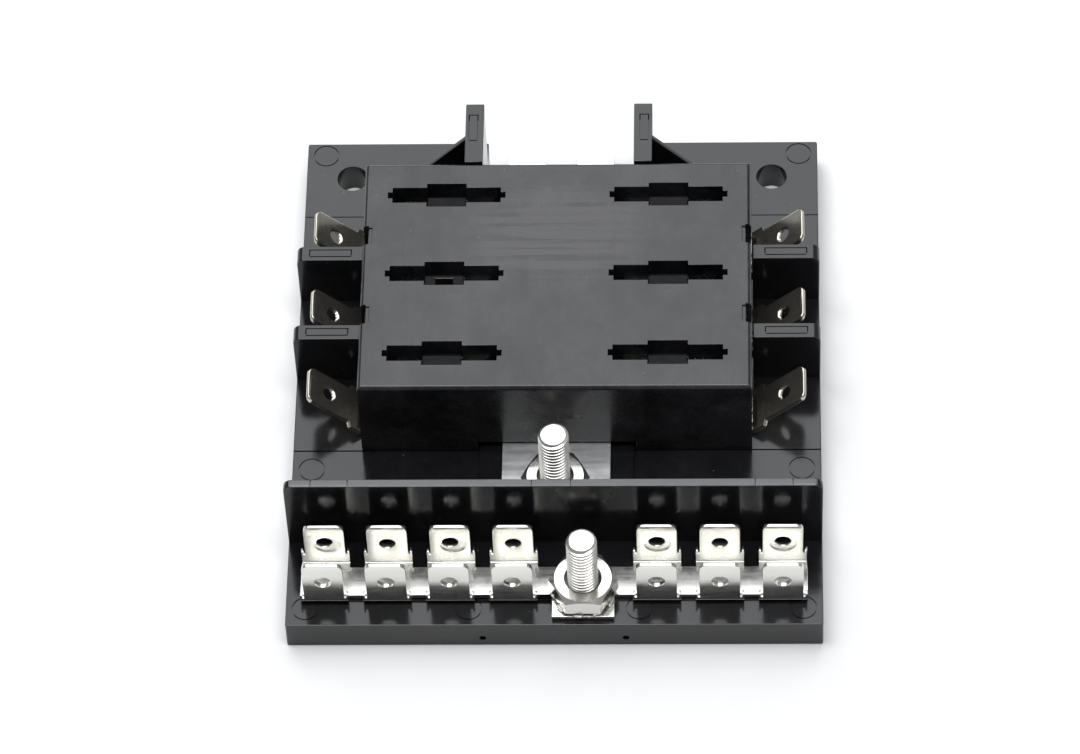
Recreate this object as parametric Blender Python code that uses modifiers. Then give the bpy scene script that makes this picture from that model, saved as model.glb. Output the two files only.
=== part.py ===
"""Fuse box panel: six-way blade fuse block with a separate ground bus.

A moulded base carries a raised fuse housing. Six blade terminals leave the housing sideways in bays
between partition walls. A positive bus bar runs under the housing to a threaded power stud at the
front. Behind the front edge, past a tall divider wall, a stamped ground bus with two rows of blades
is held by its own stud and nut.

Sizes are in millimetres and are turned into metres where meshes are made. Panel coordinates are used
throughout: x from the centre line, y from the front edge towards the rear, z above the base's floor.
"""
from math import cos, pi, radians, sin

import bmesh
import bpy
from mathutils import Matrix, Vector

MM = 0.001
GAP = 0.2                     # clearance between pieces that touch
REACH = 1.0                   # how far a cutter runs past the face that it opens

# Base
BASE_W, BASE_L, BASE_T = 84.4, 95.4, 5.7
EDGE = BASE_W / 2
BASE_CORNER = 0.3
DIVIDER_Y, DIVIDER_T, DIVIDER_H = 15.7, 1.4, 15.5
WALL_T, WALL_H = 2.8, 11.1
WALL_SHIFT = 0.55             # each wall stands this far behind the middle between its rows
PLATFORM_W, PLATFORM_H = 24.7, 0.6
TONGUE_W, TONGUE_END, TONGUE_FLOOR = 20.4, 90.4, -4.0
REAR_LIP = 2.2                # base left behind the housing, in front of the rear opening
FIN_IN, FIN_OUT, FIN_END = 12.2, 15.2, 90.4
GUSSET_Y, GUSSET_T, GUSSET_REACH = 83.6, 0.9, 14.7
MOUNT_R, MOUNT_X, MOUNT_YS = 2.45, 34.6, (22.8, 88.15)
SEAM_Y, SEAM_W, SEAM_DEPTH = 33.15, 0.25, 0.4
CORE_X, CORE_YS, CORE_DEPTH = (3.0, 23.6), ((36.0, 45.6), (50.9, 61.3), (66.6, 76.0)), 2.8
POCKET_GAP = 0.4              # room round the fastener heads in the underside
HOLE_GAP = 0.3                # room round the studs and screws, and round the bus bar

# Housing
HOUSE_W, HOUSE_H = 62.4, 16.9
HOUSE_FRONT, HOUSE_REAR = 33.5, 78.3
HOUSE_WALL, CEILING, RIB = 2.2, 12.7, 0.8
HOUSE_CHAMFER = 0.7
ROWS = (40.4, 56.1, 71.8)     # the fuse rows, front to rear
SLOT_X = 17.9                 # centre of each column of fuses
WELL_IN, WELL_OUT = 3.05, 8.7  # a blade well's two ends, from the middle of the slot
WELL_HALF = 1.45
NOTCH_LENGTH, NOTCH_HALF = 0.75, 0.55
WAIST_HALF, WAIST_HALF_Y = 3.15, 2.25
LEDGE_DEPTH, POCKET_DEPTH = 0.8, 3.5
EDGE_NOTCH_W, EDGE_NOTCH_D, EDGE_NOTCH_YS = 3.6, 0.9, (48.1, 63.8)
FOOT_PASSAGE_H = 1.6

# Sheet metal
SHEET = 0.8
BLADE_W, BLADE_CORNER = 6.35, 1.1
TAB_HOLE_R, GROUND_HOLE_R = 1.1, 1.3
BLADE_HOLE_FROM_TIP = 4.3
FUSE_BLADE_X = 4.65           # a fuse's blades sit this far each side of its middle
CLIP_W, CLIP_T = 5.0, 0.5
CLIP_SHOULDER, CLIP_WAIST, CLIP_MOUTH = (1.55, 5.0), (0.85, 8.2), (1.5, 10.2)  # half width, z
CLIP_SINK = 0.35              # how far a terminal's clip is let into its foot

# Positive bus
BUS_HALF, BUS_FRONT, BUS_REAR = 8.65, 18.4, 95.0
BUS_Z = PLATFORM_H + GAP
BUS_SPLIT_HALF, BUS_SPLIT_Y = 2.55, 80.5
BUS_CORNER = 1.0
EAR_END, EAR_HALF = 16.2, 2.8

# Load terminals
TAB_BEND_X, TAB_ANGLE, TAB_TIP = 31.2, radians(45), 43.0
TAB_BEND_R = 0.4
TAB_SHOULDER_HALF, TAB_SHOULDER_END = 4.1, 34.0
FOOT_START, FOOT_HALF = 19.9, 2.7

# Ground bus
GROUND_Y0, GROUND_Y1 = 5.0, 10.3
GROUND_X0, GROUND_X1 = -39.9, 39.8
GROUND_PITCH = 9.88
GROUND_FIRST, GROUND_FOURTH = -36.03, 16.15
GROUND_REAR_BEND, GROUND_BEND_R = 11.1, 0.2
GROUND_BLADE_H = 10.4
SHOULDER_HALF, FRONT_SHOULDER_H, REAR_SHOULDER_H = 3.8, 2.5, 3.8
LUG_FRONT, LUG_HALF = 0.9, 4.9

# Studs, nuts and lock washers, for a 10-32 thread
STUD_R, STUD_CHAMFER = 2.415, 0.5
STUD_HEAD_R, STUD_HEAD_T, STUD_HEAD_SINK = 4.4, 2.2, 0.3
NUT_FLATS, NUT_H, NUT_BORE = 9.53, 3.0, 2.66
WASHER_T, WASHER_R, WASHER_ROOT, WASHER_BORE, WASHER_TEETH = 0.5, 5.2, 4.4, 2.75, 10
POWER = {"name": "power", "x": 0.0, "y": 24.6, "seat": BUS_Z + SHEET, "top": 16.8}
GROUND = {"name": "ground", "x": 4.6, "y": 5.6, "seat": GAP + SHEET, "top": 15.3}

# Screws that hold the housing from below
SCREW_X, SCREW_YS = 27.0, (48.25, 63.95)
SCREW_R, SCREW_HEAD_R, SCREW_HEAD_T, SCREW_TIP = 1.3, 2.5, 1.6, 9.0
BOSS_R, PILOT_R = 2.6, 1.55
HEAD_POCKET = 2.4

PANEL = bpy.data.collections.new("fuse_box_panel")
CUTTERS = bpy.data.collections.new("cutters")


def panel(x, y, z):
    """World position of a point in panel coordinates."""
    return Vector((x, y - BASE_L / 2, z + BASE_T)) * MM


def material(name, colour, roughness, metallic):
    mat = bpy.data.materials.new(name)
    mat.use_nodes = True
    shader = mat.node_tree.nodes["Principled BSDF"]
    shader.inputs["Base Color"].default_value = (*colour, 1.0)
    shader.inputs["Roughness"].default_value = roughness
    shader.inputs["Metallic"].default_value = metallic
    return mat


def make_object(name, mesh, collection, mat=None):
    obj = bpy.data.objects.new(name, mesh)
    collection.objects.link(obj)
    if mat:
        mesh.materials.append(mat)
    if collection is CUTTERS:
        obj.hide_render = True
        obj.display_type = "WIRE"
    return obj


def add_box(bm, low, high):
    """Add a closed box between two corners given in panel coordinates; returns its vertices."""
    a, b = panel(*low), panel(*high)
    size = Matrix.Diagonal((*(b - a), 1.0))
    return bmesh.ops.create_cube(bm, size=1.0, matrix=Matrix.Translation((a + b) / 2) @ size)["verts"]


def add_cylinder(bm, x, y, z0, z1, radius, segments=32, top_radius=None, turn=0.0):
    """Add an upright closed cylinder, cone or prism."""
    middle = (panel(x, y, z0) + panel(x, y, z1)) / 2
    bmesh.ops.create_cone(bm, cap_ends=True, segments=segments, radius1=radius * MM,
                          radius2=(radius if top_radius is None else top_radius) * MM,
                          depth=(z1 - z0) * MM,
                          matrix=Matrix.Translation(middle) @ Matrix.Rotation(turn, 4, "Z"))


def from_bmesh(name, bm, collection, mat=None):
    mesh = bpy.data.meshes.new(name)
    bm.normal_update()
    bm.to_mesh(mesh)
    bm.free()
    return make_object(name, mesh, collection, mat)


def boolean(obj, tool, operation):
    mod = obj.modifiers.new(tool.name, "BOOLEAN")
    mod.operation = operation
    mod.solver = "EXACT"
    mod.object = tool
    return mod


def sheet_bmesh(outlines, thickness):
    """Flat sheet from closed outlines in the XY plane, holes included, resting on z = 0."""
    curve = bpy.data.curves.new("outline", "CURVE")
    curve.dimensions = "2D"
    curve.fill_mode = "BOTH"
    curve.extrude = thickness * MM / 2
    for outline in outlines:
        spline = curve.splines.new("POLY")
        spline.points.add(len(outline) - 1)
        for point, (x, y) in zip(spline.points, outline):
            point.co = (x * MM, y * MM, 0.0, 1.0)
        spline.use_cyclic_u = True
    carrier = bpy.data.objects.new("outline", curve)
    CUTTERS.objects.link(carrier)
    depsgraph = bpy.context.evaluated_depsgraph_get()
    mesh = bpy.data.meshes.new_from_object(carrier.evaluated_get(depsgraph))
    bm = bmesh.new()
    bm.from_mesh(mesh)
    bmesh.ops.remove_doubles(bm, verts=bm.verts, dist=1e-6)
    bmesh.ops.recalc_face_normals(bm, faces=bm.faces)
    bmesh.ops.translate(bm, verts=bm.verts, vec=(0, 0, thickness * MM / 2))
    bpy.data.objects.remove(carrier)
    bpy.data.curves.remove(curve)
    bpy.data.meshes.remove(mesh)
    return bm


def circle(x, y, radius, segments=12):
    return [(x + radius * cos(2 * pi * k / segments), y + radius * sin(2 * pi * k / segments))
            for k in range(segments)]


def fold(bm, axis, sign, start, angle, radius, steps=3, where=None):
    """Bend a flat sheet upwards past a line.

    axis is the coordinate that crosses the line (0 for x, 1 for y) and sign its direction. The sheet
    rests on z = 0, and radius is the inside radius of the bend. where picks the vertices that move.
    """
    neutral = (radius + SHEET / 2) * MM
    centre_z = (radius + SHEET) * MM
    length = neutral * angle
    for step in range(steps + 1):
        plane = Vector((0, 0, 0))
        normal = Vector((0, 0, 0))
        plane[axis] = sign * (start * MM + length * step / steps)
        normal[axis] = 1.0
        geometry = bm.verts[:] + bm.edges[:] + bm.faces[:]
        bmesh.ops.bisect_plane(bm, geom=geometry, dist=1e-7, plane_co=plane, plane_no=normal)
    for vert in bm.verts:
        run = sign * vert.co[axis] - start * MM
        if run <= 1e-8 or (where and not where(vert.co)):
            continue
        turn = min(run / neutral, angle)
        straight = max(run - length, 0.0)
        reach = centre_z - vert.co.z
        vert.co[axis] = sign * (start * MM + reach * sin(turn) + straight * cos(angle))
        vert.co.z = centre_z - reach * cos(turn) + straight * sin(angle)


def place(bm, x, y, z, turn=0.0):
    """Move a sheet made about its own origin to its place on the panel."""
    matrix = Matrix.Translation(panel(x, y, z)) @ Matrix.Rotation(turn, 4, "Z")
    bmesh.ops.transform(bm, matrix=matrix, verts=bm.verts)


def clip_bmesh(base_z):
    """Spring clip for a fuse blade: a U of strip whose leaves close in and flare at the mouth."""
    (half, height), (waist, waist_z), (mouth, mouth_z) = CLIP_SHOULDER, CLIP_WAIST, CLIP_MOUTH
    outer = [(half, base_z), (half, height), (waist, waist_z), (mouth, mouth_z)]
    inner = [(mouth - CLIP_T, mouth_z), (waist - CLIP_T, waist_z), (half - CLIP_T, height),
             (half - CLIP_T, base_z + CLIP_T)]
    right = outer + inner
    outline = right + [(-y, z) for y, z in reversed(right)]
    bm = sheet_bmesh([outline], CLIP_W)
    stand = Matrix(((0, 0, 1, -CLIP_W / 2 * MM), (1, 0, 0, 0), (0, 1, 0, 0), (0, 0, 0, 1)))
    bmesh.ops.transform(bm, matrix=stand, verts=bm.verts)
    return bm


def base_walls():
    """The divider wall and the partition walls, rooted in the floor."""
    bm = bmesh.new()
    add_box(bm, (-EDGE, DIVIDER_Y, -REACH), (EDGE, DIVIDER_Y + DIVIDER_T, DIVIDER_H))
    for side in (-1, 1):
        for row in (0, 1):
            front = (ROWS[row] + ROWS[row + 1]) / 2 - WALL_T / 2 + WALL_SHIFT
            xs = sorted((side * (HOUSE_W / 2 + GAP), side * EDGE))
            add_box(bm, (xs[0], front, -REACH), (xs[1], front + WALL_T, WALL_H))
    return from_bmesh("base_walls", bm, CUTTERS)


def base_platform():
    """The low platform under the positive bus bar."""
    bm = bmesh.new()
    add_box(bm, (-PLATFORM_W / 2, DIVIDER_Y + DIVIDER_T / 2, -REACH),
            (PLATFORM_W / 2, HOUSE_REAR, PLATFORM_H))
    return from_bmesh("base_platform", bm, CUTTERS)


def base_tongue():
    """The tongue that carries the bus bar on through the rear opening."""
    bm = bmesh.new()
    add_box(bm, (-TONGUE_W / 2, HOUSE_REAR, TONGUE_FLOOR), (TONGUE_W / 2, TONGUE_END, PLATFORM_H))
    return from_bmesh("base_tongue", bm, CUTTERS)


def base_fins():
    """The two upright fins beside the bus bar's rear tabs."""
    bm = bmesh.new()
    for side in (-1, 1):
        xs = sorted((side * FIN_IN, side * FIN_OUT))
        add_box(bm, (xs[0], HOUSE_REAR + GAP, TONGUE_FLOOR), (xs[1], FIN_END, HOUSE_H))
    return from_bmesh("base_fins", bm, CUTTERS)


def base_gussets():
    """Thin triangular ribs that brace each fin sideways."""
    combined = bmesh.new()
    for side in (-1, 1):
        slope = HOUSE_H / GUSSET_REACH
        outline = [(FIN_OUT - REACH, -REACH), (FIN_OUT + GUSSET_REACH + REACH / slope, -REACH),
                   (FIN_OUT, HOUSE_H - GAP), (FIN_OUT - REACH, HOUSE_H - GAP)]
        points = [(side * x, z) for x, z in outline]
        bm = sheet_bmesh([points if side > 0 else points[::-1]], GUSSET_T)
        stand = Matrix(((1, 0, 0, 0), (0, 0, 1, 0), (0, 1, 0, 0), (0, 0, 0, 1)))
        bmesh.ops.transform(bm, matrix=stand, verts=bm.verts)
        bmesh.ops.translate(bm, verts=bm.verts, vec=panel(0, GUSSET_Y, 0))
        bmesh.ops.recalc_face_normals(bm, faces=bm.faces)
        part = bpy.data.meshes.new("gusset")
        bm.to_mesh(part)
        bm.free()
        combined.from_mesh(part)
        bpy.data.meshes.remove(part)
    return from_bmesh("base_gussets", combined, CUTTERS)


def rear_opening():
    """The notch between the fins, open right through beyond the tongue."""
    bm = bmesh.new()
    add_box(bm, (-FIN_IN, HOUSE_REAR + REAR_LIP, -BASE_T - REACH), (FIN_IN, BASE_L + REACH, HOUSE_H / 2))
    return from_bmesh("rear_opening", bm, CUTTERS)


def base_holes():
    """Mounting holes, stud holes with their head pockets, and screw holes with theirs."""
    bm = bmesh.new()
    for x in (-MOUNT_X, MOUNT_X):
        for y in MOUNT_YS:
            add_cylinder(bm, x, y, -BASE_T - REACH, REACH, MOUNT_R)
    for stud in (POWER, GROUND):
        add_cylinder(bm, stud["x"], stud["y"], -BASE_T, REACH + PLATFORM_H, STUD_R + HOLE_GAP)
    for x in (-SCREW_X, SCREW_X):
        for y in SCREW_YS:
            add_cylinder(bm, x, y, -BASE_T, REACH, SCREW_R + HOLE_GAP, 20)
    return from_bmesh("base_holes", bm, CUTTERS)


def base_seam():
    """The fine groove across the floor on each side of the platform, just in front of the housing."""
    bm = bmesh.new()
    for side in (-1, 1):
        xs = sorted((side * PLATFORM_W / 2, side * (EDGE + REACH)))
        add_box(bm, (xs[0], SEAM_Y, -SEAM_DEPTH), (xs[1], SEAM_Y + SEAM_W, REACH))
    return from_bmesh("base_seam", bm, CUTTERS)


def base_pockets():
    """Cored pockets and fastener pockets in the underside."""
    bm = bmesh.new()
    for stud in (POWER, GROUND):
        depth = STUD_HEAD_SINK + STUD_HEAD_T + GAP
        add_cylinder(bm, stud["x"], stud["y"], -BASE_T - REACH, -BASE_T + depth, STUD_HEAD_R + POCKET_GAP)
    for x in (-SCREW_X, SCREW_X):
        for y in SCREW_YS:
            add_cylinder(bm, x, y, -BASE_T - REACH, -BASE_T + HEAD_POCKET, SCREW_HEAD_R + POCKET_GAP, 20)
    for side in (-1, 1):
        for y0, y1 in CORE_YS:
            xs = sorted(side * x for x in CORE_X)
            add_box(bm, (xs[0], y0, -BASE_T - REACH), (xs[1], y1, -BASE_T + CORE_DEPTH))
    return from_bmesh("base_pockets", bm, CUTTERS)


def base_plate(mat):
    bm = bmesh.new()
    add_box(bm, (-EDGE, 0, -BASE_T), (EDGE, BASE_L, 0))
    upright = [e for e in bm.edges if abs(e.verts[0].co.z - e.verts[1].co.z) > 1e-5]
    bmesh.ops.bevel(bm, geom=upright, offset=BASE_CORNER * MM, segments=2, profile=0.5, affect="EDGES")
    base = from_bmesh("base_plate", bm, PANEL, mat)
    boolean(base, rear_opening(), "DIFFERENCE")
    for tool in (base_walls(), base_platform(), base_tongue(), base_fins(), base_gussets()):
        boolean(base, tool, "UNION")
    for tool in (base_holes(), base_pockets(), base_seam()):
        boolean(base, tool, "DIFFERENCE")
    return base


def slot_wells():
    """The two blade wells of each fuse slot, each with a narrow notch at its far end."""
    combined = bmesh.new()
    for column in (-SLOT_X, SLOT_X):
        for row in ROWS:
            for side in (-1, 1):
                half = [(WELL_OUT + NOTCH_LENGTH, NOTCH_HALF), (WELL_OUT, NOTCH_HALF),
                        (WELL_OUT, WELL_HALF), (WELL_IN, WELL_HALF)]
                outline = half + [(x, -y) for x, y in reversed(half)]
                points = [(side * x, y) for x, y in outline]
                bm = sheet_bmesh([points], HOUSE_H - CEILING + 2 * REACH)
                bmesh.ops.translate(bm, verts=bm.verts, vec=panel(column, row, CEILING - REACH))
                part = bpy.data.meshes.new("well")
                bm.to_mesh(part)
                bm.free()
                combined.from_mesh(part)
                bpy.data.meshes.remove(part)
    return from_bmesh("slot_wells", combined, CUTTERS)


def slot_waists(name, y0, y1, depth):
    """The wider middle of every fuse slot, sunk to one depth."""
    bm = bmesh.new()
    for column in (-SLOT_X, SLOT_X):
        for row in ROWS:
            add_box(bm, (column - WAIST_HALF, row + y0, HOUSE_H - depth),
                    (column + WAIST_HALF, row + y1, HOUSE_H + REACH))
    return from_bmesh(name, bm, CUTTERS)


def housing_cavity():
    """Room for the clips: three bays open at the bottom, parted by ribs between the fuse rows."""
    bm = bmesh.new()
    half = HOUSE_W / 2 - HOUSE_WALL
    edges = [HOUSE_FRONT + HOUSE_WALL, SCREW_YS[0], SCREW_YS[1], HOUSE_REAR - HOUSE_WALL]
    for index in range(3):
        y0 = edges[index] + (RIB if index > 0 else 0)
        y1 = edges[index + 1] - (RIB if index < 2 else 0)
        add_box(bm, (-half, y0, -REACH), (half, y1, CEILING))
    return from_bmesh("housing_cavity", bm, CUTTERS)


def housing_bosses():
    """Round bosses for the screws, let into the ceiling."""
    bm = bmesh.new()
    for x in (-SCREW_X, SCREW_X):
        for y in SCREW_YS:
            add_cylinder(bm, x, y, GAP, CEILING + REACH, BOSS_R, 24)
    return from_bmesh("housing_bosses", bm, CUTTERS)


def housing_pilots():
    """Screw pilots from below."""
    bm = bmesh.new()
    for x in (-SCREW_X, SCREW_X):
        for y in SCREW_YS:
            add_cylinder(bm, x, y, -REACH, SCREW_TIP + 0.6, PILOT_R, 20)
    return from_bmesh("housing_pilots", bm, CUTTERS)


def bus_passage():
    """The bus bar's way through from front to rear."""
    bm = bmesh.new()
    add_box(bm, (-PLATFORM_W / 2 - HOLE_GAP, HOUSE_FRONT - REACH, -REACH),
            (PLATFORM_W / 2 + HOLE_GAP, HOUSE_REAR + REACH, BUS_Z + SHEET + 2 * GAP))
    return from_bmesh("bus_passage", bm, CUTTERS)


def terminal_passages():
    """The load terminals' ways out at the sides."""
    bm = bmesh.new()
    for side in (-1, 1):
        for row in ROWS:
            xs = sorted((side * (HOUSE_W / 2 - HOUSE_WALL - REACH), side * (HOUSE_W / 2 + REACH)))
            half = FOOT_HALF + 2 * GAP
            add_box(bm, (xs[0], row - half, -REACH), (xs[1], row + half, FOOT_PASSAGE_H))
    return from_bmesh("terminal_passages", bm, CUTTERS)


def edge_notches():
    """Small notches in the housing's upper side edges, above the partition walls."""
    bm = bmesh.new()
    for side in (-1, 1):
        for middle in EDGE_NOTCH_YS:
            xs = sorted((side * (HOUSE_W / 2 - EDGE_NOTCH_D), side * (HOUSE_W / 2 + REACH)))
            add_box(bm, (xs[0], middle - EDGE_NOTCH_W / 2, WALL_H + GAP),
                    (xs[1], middle + EDGE_NOTCH_W / 2, HOUSE_H + REACH))
    return from_bmesh("edge_notches", bm, CUTTERS)


def fuse_housing(mat):
    bm = bmesh.new()
    add_box(bm, (-HOUSE_W / 2, HOUSE_FRONT, GAP), (HOUSE_W / 2, HOUSE_REAR, HOUSE_H))
    top = panel(0, 0, HOUSE_H).z - 1e-5
    rim = [e for e in bm.edges if min(v.co.z for v in e.verts) > top]
    bmesh.ops.bevel(bm, geom=rim, offset=HOUSE_CHAMFER * MM, segments=1, affect="EDGES")
    housing = from_bmesh("fuse_housing", bm, PANEL, mat)
    boolean(housing, housing_cavity(), "DIFFERENCE")
    boolean(housing, housing_bosses(), "UNION")
    for tool in (housing_pilots(), bus_passage(), terminal_passages(), edge_notches(),
                 slot_wells(), slot_waists("slot_ledges", -WAIST_HALF_Y, 0.05, LEDGE_DEPTH),
                 slot_waists("slot_pockets", 0.0, WAIST_HALF_Y, POCKET_DEPTH)):
        boolean(housing, tool, "DIFFERENCE")
    return housing


def positive_bus_bar(mat):
    right = [(BUS_HALF, BUS_FRONT)]
    for row in ROWS:
        right += [(BUS_HALF, row - EAR_HALF), (EAR_END, row - EAR_HALF),
                  (EAR_END, row + EAR_HALF), (BUS_HALF, row + EAR_HALF)]
    right += [(BUS_HALF, BUS_REAR - BUS_CORNER), (BUS_HALF - BUS_CORNER, BUS_REAR),
              (BUS_SPLIT_HALF + BUS_CORNER, BUS_REAR), (BUS_SPLIT_HALF, BUS_REAR - BUS_CORNER),
              (BUS_SPLIT_HALF, BUS_SPLIT_Y)]
    outline = right + [(-x, y) for x, y in reversed(right)]
    bm = sheet_bmesh([outline, circle(POWER["x"], POWER["y"], STUD_R + HOLE_GAP, 24)], SHEET)
    place(bm, 0, 0, BUS_Z)
    return from_bmesh("positive_bus_bar", bm, PANEL, mat)


def bus_clips(mat):
    number = 0
    for side in (-1, 1):
        for row in reversed(ROWS):
            number += 1
            bm = clip_bmesh(BUS_Z + SHEET + GAP)
            bmesh.ops.translate(bm, verts=bm.verts, vec=panel(side * (SLOT_X - FUSE_BLADE_X), row, 0))
            from_bmesh(f"bus_clip_{number}", bm, PANEL, mat)


def tab_outline():
    """Flat pattern of a load terminal, running out along +x."""
    half = BLADE_W / 2
    upper = [(FOOT_START, FOOT_HALF), (TAB_BEND_X, FOOT_HALF), (TAB_BEND_X, TAB_SHOULDER_HALF),
             (TAB_SHOULDER_END, TAB_SHOULDER_HALF),
             (TAB_SHOULDER_END, half), (TAB_TIP - BLADE_CORNER, half),
             (TAB_TIP, half - BLADE_CORNER)]
    return upper + [(x, -y) for x, y in reversed(upper)]


def load_terminals(mat):
    number = 0
    for side in (-1, 1):
        for row in reversed(ROWS):
            number += 1
            hole = circle(TAB_TIP - BLADE_HOLE_FROM_TIP, 0, TAB_HOLE_R)
            bm = sheet_bmesh([tab_outline(), hole], SHEET)
            fold(bm, 0, 1, TAB_BEND_X, TAB_ANGLE, TAB_BEND_R)
            turn = 0.0 if side > 0 else pi
            place(bm, 0, row, GAP, turn)
            terminal = from_bmesh(f"load_terminal_{number}", bm, PANEL, mat)
            clip = clip_bmesh(GAP + SHEET - CLIP_SINK)
            middle = side * (SLOT_X + FUSE_BLADE_X)
            bmesh.ops.translate(clip, verts=clip.verts, vec=panel(middle, row, 0))
            boolean(terminal, from_bmesh(f"terminal_clip_{number}", clip, CUTTERS), "UNION")


def ground_blade_xs():
    left = [GROUND_FIRST + GROUND_PITCH * k for k in range(4)]
    right = [GROUND_FOURTH + GROUND_PITCH * k for k in range(3)]
    return left + right


def ground_blade(x, edge, sign, length, shoulder):
    """Outline of one blade from left to right, standing out of the strip's edge."""
    half = BLADE_W / 2
    top = length - GROUND_BLADE_H + shoulder
    rise = [(-SHOULDER_HALF, 0), (-SHOULDER_HALF, top), (-half, top), (-half, length - BLADE_CORNER),
            (-half + BLADE_CORNER, length)]
    points = rise + [(-dx, dy) for dx, dy in reversed(rise)]
    return [(x + dx, edge + sign * dy) for dx, dy in points]


def ground_bus_bar(mat):
    """Stamped strip with a row of blades bent up from each edge and a lug for the stud."""
    # length that a square bend takes off the flat pattern
    saved = (GROUND_BEND_R + SHEET) - (GROUND_BEND_R + SHEET / 2) * pi / 2
    front_length = GROUND_BLADE_H - GAP - saved
    rear_length = front_length + GROUND_REAR_BEND - GROUND_Y1
    front, rear = [], []
    for x in ground_blade_xs():
        front.append((x, ground_blade(x, GROUND_Y0, -1, front_length, FRONT_SHOULDER_H)))
        rear.append(ground_blade(x, GROUND_Y1, 1, rear_length, REAR_SHOULDER_H))
    lug = [(GROUND["x"] - LUG_HALF, GROUND_Y0), (GROUND["x"] - LUG_HALF, LUG_FRONT),
           (GROUND["x"] + LUG_HALF, LUG_FRONT), (GROUND["x"] + LUG_HALF, GROUND_Y0)]
    front.append((GROUND["x"], lug))
    front.sort(key=lambda entry: entry[0])
    outline = [(GROUND_X0, GROUND_Y0)]
    for _, points in front:
        outline += points
    outline += [(GROUND_X1, GROUND_Y0), (GROUND_X1, GROUND_Y1)]
    for points in reversed(rear):
        outline += points[::-1]
    outline.append((GROUND_X0, GROUND_Y1))
    holes = [circle(GROUND["x"], GROUND["y"], STUD_R + HOLE_GAP, 24)]
    for x in ground_blade_xs():
        holes.append(circle(x, GROUND_Y0 - front_length + BLADE_HOLE_FROM_TIP, GROUND_HOLE_R))
        holes.append(circle(x, GROUND_Y1 + rear_length - BLADE_HOLE_FROM_TIP, GROUND_HOLE_R))
    bm = sheet_bmesh([outline] + holes, SHEET)
    fold(bm, 1, -1, -GROUND_Y0, pi / 2, GROUND_BEND_R,
         where=lambda co: abs(co.x / MM - GROUND["x"]) > LUG_HALF + GAP / 2)
    fold(bm, 1, 1, GROUND_REAR_BEND, pi / 2, GROUND_BEND_R)
    place(bm, 0, 0, GAP)
    return from_bmesh("ground_bus_bar", bm, PANEL, mat)


def stud(spec, mat):
    """Threaded stud pressed in from below, its hexagonal head sunk in the underside."""
    bm = bmesh.new()
    head = -BASE_T + STUD_HEAD_SINK
    shoulder = spec["top"] - STUD_CHAMFER
    add_cylinder(bm, 0, BASE_L / 2, head + 0.5, shoulder + 0.05, STUD_R)
    add_cylinder(bm, 0, BASE_L / 2, shoulder, spec["top"], STUD_R, 32, STUD_R - STUD_CHAMFER)
    add_cylinder(bm, 0, BASE_L / 2, head, head + STUD_HEAD_T, STUD_HEAD_R, 6)
    tool = from_bmesh(f"{spec['name']}_stud_solids", bm, CUTTERS)
    core = bmesh.new()
    add_cylinder(core, 0, BASE_L / 2, head + 1.0, spec["seat"], STUD_R - STUD_CHAMFER)
    obj = from_bmesh(f"{spec['name']}_stud", core, PANEL, mat)
    obj.location = panel(spec["x"], spec["y"], 0) - panel(0, BASE_L / 2, 0)
    tool.location = obj.location
    boolean(obj, tool, "UNION").use_self = True


def lock_washer(spec, mat):
    """External-tooth lock washer captive under the nut."""
    points = []
    for tooth in range(WASHER_TEETH):
        for share, radius in ((0.0, WASHER_R), (0.45, WASHER_R), (0.55, WASHER_ROOT), (0.9, WASHER_ROOT)):
            angle = 2 * pi * (tooth + share) / WASHER_TEETH
            points.append((radius * cos(angle), radius * sin(angle)))
    bm = sheet_bmesh([points, circle(0, 0, WASHER_BORE, 24)], WASHER_T)
    obj = from_bmesh(f"{spec['name']}_lock_washer", bm, PANEL, mat)
    obj.location = panel(spec["x"], spec["y"], spec["seat"] + GAP)


def hex_nut(spec, mat):
    """Hexagon nut with a plain bore."""
    corner = NUT_FLATS / 2 / cos(pi / 6)
    hexagon = [(corner * cos(pi / 3 * k), corner * sin(pi / 3 * k)) for k in range(6)]
    bm = sheet_bmesh([hexagon, circle(0, 0, NUT_BORE, 24)], NUT_H)
    obj = from_bmesh(f"{spec['name']}_nut", bm, PANEL, mat)
    obj.location = panel(spec["x"], spec["y"], spec["seat"] + GAP + WASHER_T + GAP)


def housing_screws(mat):
    """Four pan-head screws driven up through the base into the housing's bosses."""
    number = 0
    for x in (-SCREW_X, SCREW_X):
        for y in SCREW_YS:
            number += 1
            head = -BASE_T + HEAD_POCKET - GAP - SCREW_HEAD_T
            bm = bmesh.new()
            profile = [(0, SCREW_TIP), (SCREW_R * 0.6, SCREW_TIP - 0.2), (SCREW_R, SCREW_TIP - 1.6),
                       (SCREW_R, head + SCREW_HEAD_T), (SCREW_HEAD_R, head + SCREW_HEAD_T),
                       (SCREW_HEAD_R, head + 0.5), (SCREW_HEAD_R - 0.6, head), (0, head)]
            verts = [bm.verts.new((r * MM, 0, z * MM)) for r, z in profile]
            for a, b in zip(verts, verts[1:]):
                bm.edges.new((a, b))
            obj = from_bmesh(f"housing_screw_{number}", bm, PANEL, mat)
            obj.location = panel(x, y, 0)
            turn = obj.modifiers.new("turned", "SCREW")
            turn.steps = turn.render_steps = 16
            turn.use_merge_vertices = True
            turn.merge_threshold = 1e-6


def smooth_round_pieces():
    for obj in PANEL.objects:
        obj.data.shade_smooth()
        obj.data.set_sharp_from_angle(angle=radians(35))


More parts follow.
